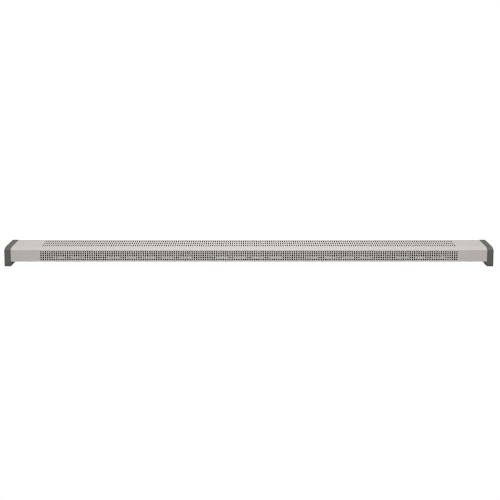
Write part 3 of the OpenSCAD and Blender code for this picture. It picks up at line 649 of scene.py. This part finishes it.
# %% Lay out the whole pattern
row_half, narrow = pitch_z / 2, 0.0006
holes_from, slots_from = row_s[0] - row_half, slot_s[0] - tile_half
flat = plain_strip(0.0, marks[1])
flat += plain_sheet(marks[1], holes_from - narrow, 6)
flat += plain_strip(holes_from - narrow, holes_from, high_punched=True)
for s in row_s:
    flat += [punched_row(s, row_half, round_hole), row_ends(s, row_half)]
flat += plain_strip(row_s[-1] + row_half, marks[3], low_punched=True)
flat += plain_sheet(marks[3], marks[4], 5)
flat += plain_sheet(marks[4], slots_from, 16, below_slots=True)
for s in slot_s:
    flat += [punched_row(s, tile_half, slot_hole), row_ends(s, tile_half)]
for a, b in zip(slot_s[:-1], slot_s[1:]):
    flat += plain_strip(a + tile_half, b - tile_half, low_punched=True, high_punched=True)
flat += plain_strip(slot_s[-1] + tile_half, marks[6], low_punched=True)
flat += plain_sheet(marks[6], marks[7], 5)
flat += plain_strip(marks[7], marks[8])
print("cover: flat pattern of", sum(len(group) for group in flat), "faces")


# %% [markdown]
# ### From pattern to sheet
# The faces were made one row at a time, so equal points are now merged. The folded points
# are the painted side. Each of them, moved in by the sheet's thickness against its normal,
# is the hidden side. An edge that only one face uses is the rim of a hole or of the sheet,
# and there a quad joins the two sides. A Solidify modifier does the same from the folded
# surface, but here the normals are known exactly, so the thickness is even in every fold.

# %% Weld a pattern and find its rims
def weld(groups):
    """Merges equal points: returns the points and each group's faces as point numbers."""
    loose = np.concatenate([group.reshape(-1, 2) for group in groups])
    points, number = np.unique(loose.round(6), axis=0, return_inverse=True)
    sizes = np.cumsum([0] + [group.shape[0] * group.shape[1] for group in groups])
    return points, [number.ravel()[a:b].reshape(group.shape[:2])
                    for a, b, group in zip(sizes[:-1], sizes[1:], groups)]


def rim_of(groups, count):
    """Directed edges (a, b) that no other face uses the other way round. Each edge has the
    number a * count + b, and its reverse b * count + a, so that whole lists are compared."""
    edges = np.concatenate([np.stack([g, np.roll(g, -1, 1)], 2).reshape(-1, 2) for g in groups])
    forward, backward = edges[:, 0] * count + edges[:, 1], edges[:, 1] * count + edges[:, 0]
    return edges[~np.isin(forward, backward)]


def two_sided(groups, rim, count):
    """The faces of a sheet: one side, the other turned over, and walls along the rim."""
    walls = np.column_stack([rim[:, 1], rim[:, 0], rim[:, 0] + count, rim[:, 1] + count])
    return [*groups, *[g[:, ::-1] + count for g in groups], walls]


flat_points, flat_faces = weld(flat)
rim = rim_of(flat_faces, len(flat_points))
print("cover:", len(flat_points), "points in the pattern,", len(rim), "edges on its rims")


# %% Make a mesh from arrays
def piece_from(name, points, groups):
    """A mesh object from points and groups of faces, smooth but for edges over 35 degrees."""
    mesh = bpy.data.meshes.new(name)
    mesh.vertices.add(len(points))
    mesh.vertices.foreach_set("co", np.asarray(points, np.float32).ravel())
    sizes = np.concatenate([np.full(len(g), g.shape[1]) for g in groups])
    mesh.loops.add(int(sizes.sum()))
    mesh.loops.foreach_set("vertex_index", np.concatenate([g.ravel() for g in groups]).astype(np.int32))
    mesh.polygons.add(len(sizes))
    mesh.polygons.foreach_set("loop_start", (np.cumsum(sizes) - sizes).astype(np.int32))
    mesh.update(calc_edges=True)
    mesh.validate()
    mesh.shade_smooth()
    mesh.set_sharp_from_angle(angle=math.radians(35.0))
    piece = bpy.data.objects.new(name, mesh)
    scene.collection.objects.link(piece)
    return piece


def stand_for(piece, node):
    """Puts a piece in a node's stead: it takes the node's finish and rides on the one body."""
    piece.data.materials.clear()
    piece.data.materials.append(finishes[slot_of[node]])
    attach(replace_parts(piece, node), "root")
    triangles = sum(len(face.vertices) - 2 for face in piece.data.polygons)
    print(piece.name, triangles, "triangles, size in mm", [round(1000 * x, 1) for x in piece.dimensions])
    return piece


# %% Fold and thicken the cover
folded, outward = fold(flat_points[:, 1])
painted = np.column_stack([flat_points[:, 0], folded])
hidden = np.column_stack([flat_points[:, 0], folded - sheet * outward])
cover = piece_from("folded_cover", np.concatenate([painted, hidden]),
                   two_sided(flat_faces, rim, len(flat_points)))
stand_for(cover, "cover")

# %% [markdown]
# ## The end caps
# Each cap is one moulding: walls of even thickness, hollow towards the casing, with ribs and
# screw bosses inside and a foot that is hollow from below. The solid has all of that, but
# its edges are dead sharp, and a moulded edge never is: the tool's corners are rounded so
# that the plastic flows. The cap could be built again from curves, at the risk of a second
# shape that differs from the first. So a copy of the solid's mesh is merged, its triangles
# are joined to whole faces, and a bevel of almost half a millimetre rounds every real edge.
# It leaves alone the many slight edges of the curved outline, and weighted normals keep the
# broad faces flat in the light.

# %% Round the edges of a solid's copy
weld_gap, one_plane, real_edge = 0.000001, math.radians(0.5), math.radians(30.0)


def softened(node, name, width, change=None):
    """A merged copy of a solid's mesh, with its edges of more than 30 degrees rounded.
    change, where given, first works on the merged mesh."""
    mesh = nodes[node].data.copy()
    work = bmesh.new()
    work.from_mesh(mesh)
    bmesh.ops.remove_doubles(work, verts=work.verts, dist=weld_gap)
    if change:
        change(work)
    bmesh.ops.dissolve_limit(work, angle_limit=one_plane, verts=work.verts, edges=work.edges)
    work.to_mesh(mesh)
    work.free()
    mesh.name = name
    mesh.shade_smooth()
    piece = bpy.data.objects.new(name, mesh)
    scene.collection.objects.link(piece)
    if width > 0:
        bevel = piece.modifiers.new("rounded_edges", "BEVEL")
        bevel.width, bevel.segments, bevel.limit_method = width, 2, "ANGLE"
        bevel.angle_limit = real_edge
        piece.modifiers.new("flat_faces", "WEIGHTED_NORMAL").keep_sharp = True
    else:
        mesh.set_sharp_from_angle(angle=real_edge)
    return stand_for(piece, node)


for side in ("left", "right"):
    softened(side + "_end_cap", side + "_moulded_cap", 0.0004)

# %% [markdown]
# ## Turned parts
# Screws, rivets, nuts and the cable grommet are all rings set along an axis. A Screw or Spin
# modifier turns a profile too, but a cross recess and a hexagon aren't round, and here a
# ring may have another radius at each angle. One helper joins such rings with quads and
# closes them, another sets the shape down wherever a solid of the node stands, and the sizes
# come from the boxes of those solids. So the pieces stay in place if the solids change.

# %% Find the solids of a node
def solids_of(node):
    """Lowest and highest corner of each separate solid in a node.
    Each point takes the lowest number its edges lead to, until no number changes."""
    mesh = nodes[node].data
    at, ends = np.empty(3 * len(mesh.vertices), np.float32), np.empty(2 * len(mesh.edges), np.int32)
    mesh.vertices.foreach_get("co", at)
    mesh.edges.foreach_get("vertices", ends)
    points, number = np.unique(at.reshape(-1, 3).astype(float).round(6), axis=0, return_inverse=True)
    a, b = number.ravel()[ends.reshape(-1, 2)].T
    label, before = np.arange(len(points)), None
    while before is None or (before != label).any():
        before = label.copy()
        np.minimum.at(label, a, before[b])
        np.minimum.at(label, b, before[a])
        label = label[label]
    return [(points[label == k].min(0), points[label == k].max(0)) for k in np.unique(label)]


print("solids:", {node: len(solids_of(node)) for node in ("cap_screws", "cover_screws", "chassis_rivets")})


# %% Rings along an axis
def rings_of(rows, turns=32):
    """Rings (along, radius * cos a, radius * sin a). A row is (along, radius), and its radius
    is one number or one for each angle."""
    a = np.arange(turns) * 2 * math.pi / turns
    return np.array([np.stack([np.full(turns, along), r * np.cos(a), r * np.sin(a)], 1) for along, r in rows])


def skin_of(rings, looped=False):
    """Quads between rings, where point k of ring j has the number j * turns + k. The last ring
    meets the first if looped, or else both of them are closed by one face."""
    rows, turns = rings.shape[:2]
    number = np.arange(rows * turns).reshape(rows, turns)
    if looped:
        number = np.vstack([number, number[:1]])
    after = np.roll(number, -1, 1)
    quads = np.stack([number[:-1], after[:-1], after[1:], number[1:]], 2).reshape(-1, 4)
    ends = [] if looped else [number[:1, ::-1], number[-1:]]
    return rings.reshape(-1, 3), [quads, *ends]


def turned_towards(rings, axis):
    """Rings along x, turned so that they run along axis; side and its cross product follow."""
    axis = np.array(axis, float)
    side = np.array([0.0, 1.0, 0.0]) if axis[1] == 0 else np.array([-axis[1], 0.0, 0.0])
    return rings @ np.array([axis, side, np.cross(axis, side)])


def joined(name, node, skins):
    """One piece from several skins, each (points, groups of faces), in a node's stead."""
    starts = np.cumsum([0] + [len(points) for points, faces in skins])
    groups = [g + start for start, (points, faces) in zip(starts, skins) for g in faces]
    print(name, "joins shapes:", len(skins))
    return stand_for(piece_from(name, np.concatenate([points for points, faces in skins]), groups), node)


def set_down(name, node, shapes, looped=False):
    """One piece from several sets of rings, each (rings, axis, place)."""
    return joined(name, node, [skin_of(turned_towards(rings, axis) + np.array(place), looped)
                               for rings, axis, place in shapes])


# %% [markdown]
# ### Screws
# A pan head is a low dome over a short upright rim, with a cross recess that the rings
# follow inwards and down. Below it the thread is a saw-edged profile. A real thread climbs
# as a helix, but at this size only its saw edge shows, and rings keep the mesh closed.

# %% Screws
def cross(half_length, turns=32):
    """Radius of a cross recess at each angle a: the further of two crossed bars. A bar reaches
    half_length / cos a, but no further than half_width / sin a."""
    a = np.arange(turns) * 2 * math.pi / turns
    c, s = np.maximum(abs(np.cos(a)), 1e-6), np.maximum(abs(np.sin(a)), 1e-6)
    half_width = half_length * math.tan(2 * math.pi / turns)
    return np.maximum(*[np.minimum(half_length / p, half_width / q) for p, q in ((c, s), (s, c))])


def screw(head_r, head_h, shank_r, length, thread=0.0012):
    """Rings of recess floor, recess edge, dome (head_h * cos t, head_r * sin t) and rim, then
    the thread, whose radius swings between its root and its crest once each thread metres."""
    t, turns = np.linspace(0.62, 1.3, 5), int(length / thread) - 1
    dome = zip(-head_h * np.cos(t), head_r * np.sin(t))
    saw = zip((np.arange(2 * turns) + 1) * thread / 2, np.tile([0.8 * shank_r, shank_r], turns))
    return rings_of([
        (-0.35 * head_h, 0.8 * cross(0.5 * head_r)), (-0.84 * head_h, cross(0.52 * head_r)), *dome,
        (-0.1 * head_h, head_r), (0.0, 0.97 * head_r), (0.0, shank_r), *saw,
        (length - 0.5 * thread, 0.6 * shank_r), (length, 0.2 * shank_r)])


def screws_on(name, node, axis, head_h):
    """Screws in place of a node's solids. axis is the way they are driven, for all of them or
    as a function of a solid's two corners."""
    shapes = []
    for low, high in solids_of(node):
        way = np.array(axis(low, high) if callable(axis) else axis, float)
        k = int(np.argmax(abs(way)))
        head_r = (high - low)[(k + 1) % 3] / 2
        place = (low + high) / 2
        place[k] = (low if way[k] > 0 else high)[k] + way[k] * head_h
        shapes.append((screw(head_r, head_h, 0.5 * head_r, (high - low)[k] - head_h), way, place))
    return set_down(name, node, shapes)


def outwards(low, high):
    """Along x, away from the middle of the heater."""
    return math.copysign(1, low[0]), 0, 0


large_head, small_head = 0.0022, 0.0018
screws_on("pan_head_cover_screws", "cover_screws", (0, 0, 1), large_head)
screws_on("pan_head_cap_screws", "cap_screws", outwards, large_head)
screws_on("small_cutout_screws", "cutout_screws", (1, 0, 0), small_head)
screws_on("small_block_screws", "block_screws", (0, 0, -1), small_head)
screws_on("small_clamp_screws", "clamp_screws", (0, 0, -1), small_head)

# %% [markdown]
# ### Rivets
# A pop rivet has a thin domed flange and the broken end of its mandrel in the middle. On the
# far side its tube has been pulled up into a bead. Half a ball would do for a head from
# afar, but the flange is far flatter, so it is drawn as a profile. The rivets along the back
# are set from behind, those through the folded feet from below, and a solid's own box tells
# which it is: those at the back lie furthest to the rear, with their heads upright.

# %% Rivets
def rivet(head_r, length):
    """Rings of mandrel end, domed flange (flange * (1 - cos t), head_r * sin t), tube and the
    bead that holds behind the sheets."""
    mandrel_r, tube_r, bead_r, flange = 0.0006, 0.0016, 0.0024, 0.001
    t = np.linspace(0.35, 1.5, 5)
    dome = zip(flange - flange * np.cos(t), head_r * np.sin(t))
    return rings_of([(0.0006, mandrel_r), (0.0002, mandrel_r + 0.0001), *dome,
                     (flange, 0.98 * head_r), (flange, tube_r), (length - 0.0013, tube_r),
                     (length - 0.0012, bead_r - 0.0001), (length - 0.0005, bead_r), (length, tube_r)], 24)


rivets = []
rear_from, upright_size = 0.08, 0.005
for low, high in solids_of("chassis_rivets"):
    on_the_back = low[Y] > rear_from and (high - low)[Z] > upright_size
    k = Y if on_the_back else Z
    way = np.array([0.0, -1.0, 0.0] if on_the_back else [0.0, 0.0, 1.0])
    place = (low + high) / 2
    place[k] = low[k] if way[k] > 0 else high[k]
    rivets.append((rivet((high - low)[X] / 2, (high - low)[k]), way, place))
set_down("domed_rivets", "chassis_rivets", rivets)

# %% [markdown]
# ### Nuts
# A nut is a hexagon whose corners are turned off at both ends, with a bore through it. A
# cylinder with six sides would keep its corners sharp all the way up. The circle of a turned
# end is smaller than the corners and larger than the flats, so the lesser of circle and
# hexagon at each angle gives the curved edges a real nut shows.

# %% Nuts
def hexagon(corner_r, turns=36):
    """Radius of a hexagon at each angle: flat / cos(angle from the middle of its side)."""
    a = np.arange(turns) * 2 * math.pi / turns
    return corner_r * math.cos(math.pi / 6) / np.cos(a % (math.pi / 3) - math.pi / 6)


def nut(corner_r, bore_r, thick):
    """Rings up the outside, over the end, down the bore and round again."""
    side = hexagon(corner_r)
    turned_off = np.minimum(side, 0.91 * corner_r)
    mouth = 1.06 * bore_r
    return rings_of([(0, turned_off), (0.12 * thick, side), (0.88 * thick, side), (thick, turned_off),
                     (thick, mouth), (0.94 * thick, bore_r), (0.06 * thick, bore_r), (0, mouth)], 36)


def nuts_on(name, node, axis, bore_r):
    """Nuts in place of a node's solids, all along one axis."""
    shapes = []
    k = int(np.argmax(np.abs(axis)))
    for low, high in solids_of(node):
        place = (low + high) / 2
        place[k] = low[k]
        shapes.append((nut((high - low).max() / 2, bore_r, (high - low)[k]), axis, place))
    return set_down(name, node, shapes, looped=True)


pin_bore_r, bush_bore_r = 0.00215, 0.007
nuts_on("hexagon_pin_nuts", "pin_nuts", (1, 0, 0), pin_bore_r)
nuts_on("hexagon_element_nuts", "element_nuts", (1, 0, 0), bush_bore_r)
nuts_on("hexagon_earth_nuts", "earth_nuts", (0, 0, 1), pin_bore_r)

# %% [markdown]
# ### The grommet
# The supply cord would enter through a rubber grommet in the back plate: two rounded lips
# with a waist between them that grips the plate's edge. Two rings and a sleeve pushed into
# each other would leave creases where they meet. One closed profile, turned once, has the
# lips, the waist and the rounded mouths of the bore without a seam.

# %% Grommet
def rounded(at, width, root, crest):
    """A lip whose edge is almost half an ellipse: crest over root by sin t to the power 0.6."""
    t = np.linspace(0, math.pi, 9)
    return zip(at + width * (1 - np.cos(t)) / 2, root + (crest - root) * np.sin(t) ** 0.6)


low, high = solids_of("cable_grommet")[0]
middle = (low + high) / 2
lip_r, waist_r, bore_r = (high - low)[X] / 2, 0.0068, 0.0042
lip_t, snug, inset, mouth_t, mouth_r = 0.0018, 0.0001, 0.0002, 0.0006, 0.0008
lip_root = waist_r - 0.0004
inner, outer = low[Y] + lip_t, side_of("back_plate", HIGH, Y)
by_cos, by_sin = 1 - np.cos(quarter_turn), 1 - np.sin(quarter_turn)
rear_mouth = zip(high[Y] - inset - mouth_t * by_cos, bore_r + mouth_r * by_sin)
front_mouth = zip(low[Y] + inset + mouth_t * by_sin, bore_r + mouth_r * by_cos)
section = [*rounded(low[Y], lip_t, lip_root, lip_r), (inner + snug, waist_r), (outer - snug, waist_r),
           *rounded(outer, high[Y] - outer, lip_root, lip_r), *rear_mouth, *front_mouth]
set_down("rubber_grommet", "cable_grommet",
         [(rings_of(section, 40), (0, 1, 0), (middle[X], 0, middle[Z]))], looped=True)

# %% [markdown]
# ## The wires and the element
# A wire is a thin tube on a free curve, and the element a thicker one bent back on itself:
# two straight legs and a half circle. A curve object with a round bevel is the usual way,
# but its ends are flat and its twist is hard to foresee. Here both are circles carried
# along a path, square to it, with a domed end. The wires pass through a few points that the
# CAD model's wires pass through too, and a Catmull-Rom curve joins these without a kink.

# %% Carry a circle along a path
def smooth_route(points, steps=12):
    """A route through points in mm. Catmull-Rom: between b and c, with the neighbours a and d,
    half of 2b + (c - a)t + (2a - 5b + 4c - d)t^2 + (3b - a - 3c + d)t^3."""
    p = np.array(points, float) / 1000
    p = np.vstack([2 * p[0] - p[1], p, 2 * p[-1] - p[-2]])
    a, b, c, d = p[:-3], p[1:-2], p[2:-1], p[3:]
    t = (np.arange(steps) / steps)[:, None, None]
    square, cubed = 2 * a - 5 * b + 4 * c - d, 3 * b - a - 3 * c + d
    spans = (2 * b + (c - a) * t + square * t ** 2 + cubed * t ** 3) / 2
    return np.vstack([spans.transpose(1, 0, 2).reshape(-1, 3), p[-2]])


def tube(path, radius, turns=16):
    """Rings centre + r * (cos a * side + sin a * up), where side and up are square to the path.
    Two more rings at each end shrink on a quarter circle and dome it."""
    heading = np.gradient(path, axis=0)
    heading /= np.linalg.norm(heading, axis=1)[:, None]
    dome = np.array([0.15, 0.6, 1.0]) * math.pi / 2
    start = path[0] - np.outer(np.cos(dome) * radius * 0.4, heading[0])
    end = path[-1] + np.outer(np.cos(dome[::-1]) * radius * 0.4, heading[-1])
    centre = np.vstack([start[:-1], path, end[1:]])
    r = np.concatenate([radius * np.sin(dome[:-1]), np.full(len(path), radius),
                        radius * np.sin(dome[-2::-1])])
    way = np.vstack([np.repeat(heading[:1], 2, 0), heading, np.repeat(heading[-1:], 2, 0)])
    side = np.cross(way, (0.0, 0.05, 1.0))
    side /= np.linalg.norm(side, axis=1)[:, None]
    up = np.cross(way, side)
    a = np.arange(turns) * 2 * math.pi / turns
    circle = np.cos(a)[None, :, None] * side[:, None] + np.sin(a)[None, :, None] * up[:, None]
    return centre[:, None] + r[:, None, None] * circle


def tubes(name, node, parts):
    """One piece from several tubes. Its points carry the number round, cos a, where a is their
    angle round the tube."""
    piece = joined(name, node, [skin_of(rings) for rings in parts])
    turn = [np.cos(np.arange(rings.shape[1]) * 2 * math.pi / rings.shape[1]) for rings in parts]
    around = np.concatenate([np.tile(once, len(rings)) for once, rings in zip(turn, parts)])
    piece.data.attributes.new("round", "FLOAT", "POINT").data.foreach_set("value", around)
    return piece


# %% Lay the wires
wire_r = 0.0014
routes = {
    "live_wire": [(-813, -4, 25.5), (-802, -4, 25.5), (-798, 8, 33.5), (-788.75, 56.5, 40.5),
                  (-780.5, 58.5, 40.5), (-776.25, 58.5, 40.5)],
    "link_wire": [(-776.25, 49.5, 40.5), (-780.5, 49.5, 40.5), (-784.75, 46, 41), (-781.75, 34.5, 40.5),
                  (-778.35, 28, 37.6), (-778.35, 21.5, 37.5)],
    "neutral_wire": [(-813, -28, 25.5), (-802, -28, 25.5), (-797, -42, 28.5), (-781.35, -50, 36),
                     (-778.35, -43.5, 37.5), (-778.35, -37.5, 37.5)],
    "earth_wire": [(-813, -16, 25.5), (-802, -16, 25.5), (-794, -6, 23.5), (-794.75, 18, 24.5),
                   (-794.75, 26.5, 22.1), (-794.75, 32.5, 22.1)],
}
for node, route in routes.items():
    tubes("sleeved_" + node, node, [tube(smooth_route(route), wire_r)])

# %% Bend the element
tube_r, pin_r, pin_hold, bend_x = 0.00425, 0.002, 0.001, 0.70875
leg_y = (side_of("heating_element", LOW, Y) + tube_r, side_of("heating_element", HIGH, Y) - tube_r)
element_z = (side_of("heating_element", LOW, Z) + side_of("heating_element", HIGH, Z)) / 2
pin_end, tube_end = side_of("heating_element", LOW, X), side_of("pin_insulators", HIGH, X)
half_turn = np.linspace(-math.pi / 2, math.pi / 2, 25)
bend_r, bend_y = (leg_y[1] - leg_y[0]) / 2, (leg_y[0] + leg_y[1]) / 2
path_x = np.concatenate([[tube_end, 0.0], bend_x + bend_r * np.cos(half_turn), [0.0, tube_end]])
path_y = np.concatenate([[leg_y[0]] * 2, bend_y + bend_r * np.sin(half_turn), [leg_y[1]] * 2])
hairpin = np.column_stack([path_x, path_y, np.full(len(path_x), element_z)])
pins = [np.array([(pin_end, y, element_z), (tube_end + pin_hold, y, element_z)]) for y in leg_y]
print("element: legs at y in mm", [round(1000 * y, 1) for y in leg_y], "bend radius", round(1000 * bend_r, 1))
tubes("hairpin_element", "heating_element", [tube(hairpin, tube_r, 24), *[tube(pin, pin_r) for pin in pins]])

# %% [markdown]
# ### The fins
# Each fin is stamped from thin sheet: two holes with a short collar that grips the tube,
# and a slot between them that lets the air pass close to both legs. An Array modifier could
# repeat one fin, but it would stay live in the export. One fin is made of three punched
# tiles, front and back, as the cover is, and is then set down 143 times along the tube.

# %% Draw the tiles of a fin
fin_low, fin_high = side_of("element_fins", LOW, Z), side_of("element_fins", HIGH, Z)
fin_front, fin_rear = side_of("element_fins", LOW, Y), side_of("element_fins", HIGH, Y)


def edge_points(y_low, y_high, y_mid):
    """Twelve points round a rectangle of the fin, in step with the twelve round its hole. They
    start in the middle of its rear side: corners, middles and quarters of the upright sides."""
    z_up, z_down = (element_z + fin_high) / 2, (element_z + fin_low) / 2
    return np.array([
        (y_high, element_z), (y_high, z_up), (y_high, fin_high), (y_mid, fin_high), (y_low, fin_high),
        (y_low, z_up), (y_low, element_z), (y_low, z_down), (y_low, fin_low), (y_mid, fin_low),
        (y_high, fin_low), (y_high, z_down)])


turn = np.radians([0, 25, 55, 90, 125, 155, 180, 205, 235, 270, 305, 335])
tube_hole = 0.0045 * np.column_stack([np.cos(turn), np.sin(turn)])
long_slot = np.array([
    (5.5, 0), (5.5, 3.5), (3.9, 7.4), (0, 9), (-3.9, 7.4), (-5.5, 3.5),
    (-5.5, 0), (-5.5, -3.5), (-3.9, -7.4), (0, -9), (3.9, -7.4), (5.5, -3.5)]) / 1000
print("fin:", round(1000 * (fin_rear - fin_front)), "by", round(1000 * (fin_high - fin_low)), "mm")

# %% Stamp one fin
fin_t, leg_tile, collar_h = 0.0006, 0.015, 0.0022
tile_y = (fin_front, leg_y[0] + leg_tile, leg_y[1] - leg_tile, fin_rear)
stamped = []
for y_low, y_high, y_mid, hole in zip(tile_y[:-1], tile_y[1:], (leg_y[0], bend_y, leg_y[1]),
                                      (tube_hole, long_slot, tube_hole)):
    outside, inside = edge_points(y_low, y_high, y_mid), hole + (y_mid, element_z)
    stamped.append(np.stack([outside, np.roll(outside, -1, 0), np.roll(inside, -1, 0), inside], 1))
plate, plate_faces = weld(stamped)
fin_points = np.vstack([np.column_stack([np.full(len(plate), side * fin_t / 2), plate]) for side in (1, -1)])
fin_groups = two_sided(plate_faces, rim_of(plate_faces, len(plate)), len(plate))
for y in leg_y:
    collar = rings_of([(0.0, 0.0049), (collar_h, 0.00445), (0.0, 0.0043)], 12) + (0.0, y, element_z)
    at, faces = skin_of(collar, looped=True)
    fin_groups += [g + len(fin_points) for g in faces]
    fin_points = np.vstack([fin_points, at])
print("fin:", sum(len(g) for g in fin_groups), "faces")

# %% Set the fins along the tube
fin_count = 143
first_fin = side_of("element_fins", LOW, X) + fin_t / 2
last_fin = side_of("element_fins", HIGH, X) - fin_t / 2
fin_x = np.linspace(first_fin, last_fin, fin_count)
all_fins = (fin_points[None] + np.column_stack([fin_x, 0 * fin_x, 0 * fin_x])[:, None]).reshape(-1, 3)
shift = np.arange(fin_count)[:, None, None] * len(fin_points)
fins = piece_from("stamped_fins", all_fins, [(g[None] + shift).reshape(-1, g.shape[1]) for g in fin_groups])
stand_for(fins, "element_fins")
print("fins:", fin_count, "at a pitch of", round(1000 * (fin_x[1] - fin_x[0]), 2), "mm")

# %% [markdown]
# ## The rest of the chassis
# What is left are folded sheets and small blocks whose solids are right but dead sharp. They
# get the treatment of the end caps, with a smaller radius: a sheared sheet edge is broken
# by about a tenth of a millimetre, and a moulded block by three. The tray is so thin along
# its slots that a bevel folds over itself, so it keeps its edges. The feet of the chamber
# walls are cut back first, to end before the heat shield, and the clamp is cut off level
# with its feet.

# %% Cut two solids to fit
tray_top, shield_front = side_of("left_bulkhead", LOW, Z), side_of("heat_shield", LOW, Y)
foot_end, foot_top, foot_gap, above_tray = 0.082, tray_top + 0.0011, 0.002, 0.00005


def cut_back(work):
    """Moves the rear end of a chamber wall's foot to a small gap before the shield."""
    for point in work.verts:
        if abs(point.co.y - foot_end) < 0.0001 and point.co.z < foot_top:
            point.co.y = shield_front - foot_gap


def cut_level(work):
    """Cuts the clamp off just above the tray and closes the cut."""
    everything = work.verts[:] + work.edges[:] + work.faces[:]
    cut = bmesh.ops.bisect_plane(work, geom=everything, plane_co=(0, 0, tray_top + above_tray),
                                 plane_no=(0, 0, 1), clear_inner=True)["geom_cut"]
    open_edges = [edge for edge in cut if isinstance(edge, bmesh.types.BMEdge)]
    bmesh.ops.triangle_fill(work, edges=open_edges, use_beauty=True, normal=(0, 0, -1))


print("tray top at", tray_top, "m, shield from", shield_front, "m")

# %% Break the other edges
changes = {"left_bulkhead": cut_back, "right_bulkhead": cut_back, "cord_clamp": cut_level}
rest = [
    ("base_plate", "folded_base", 0), ("back_plate", "flat_back", 0.0001),
    ("left_end_plate", "left_upright", 0.0001), ("right_end_plate", "right_upright", 0.0001),
    ("left_bulkhead", "left_chamber_wall", 0.0001), ("right_bulkhead", "right_chamber_wall", 0.0001),
    ("heat_shield", "folded_shield", 0.0001), ("element_supports", "element_brackets", 0.0001),
    ("element_bushes", "brass_bushes", 0.0002), ("pin_insulators", "ceramic_beads", 0.0002),
    ("thermal_cutout", "safety_cutout", 0.0003), ("terminal_block", "nylon_block", 0.0003),
    ("terminal_screws", "slotted_terminal_screws", 0.00015), ("wire_lugs", "crimped_lugs", 0.0001),
    ("earth_stud", "brass_stud", 0.00015), ("cord_clamp", "moulded_clamp", 0.0003),
]
for node, name, width in rest:
    piece = softened(node, name, width, changes.get(node))
    # The chamber walls take the zinc with painted shade on their inner side.
    if node.endswith("bulkhead"):
        piece.data.materials[0] = shade_painted_sheet
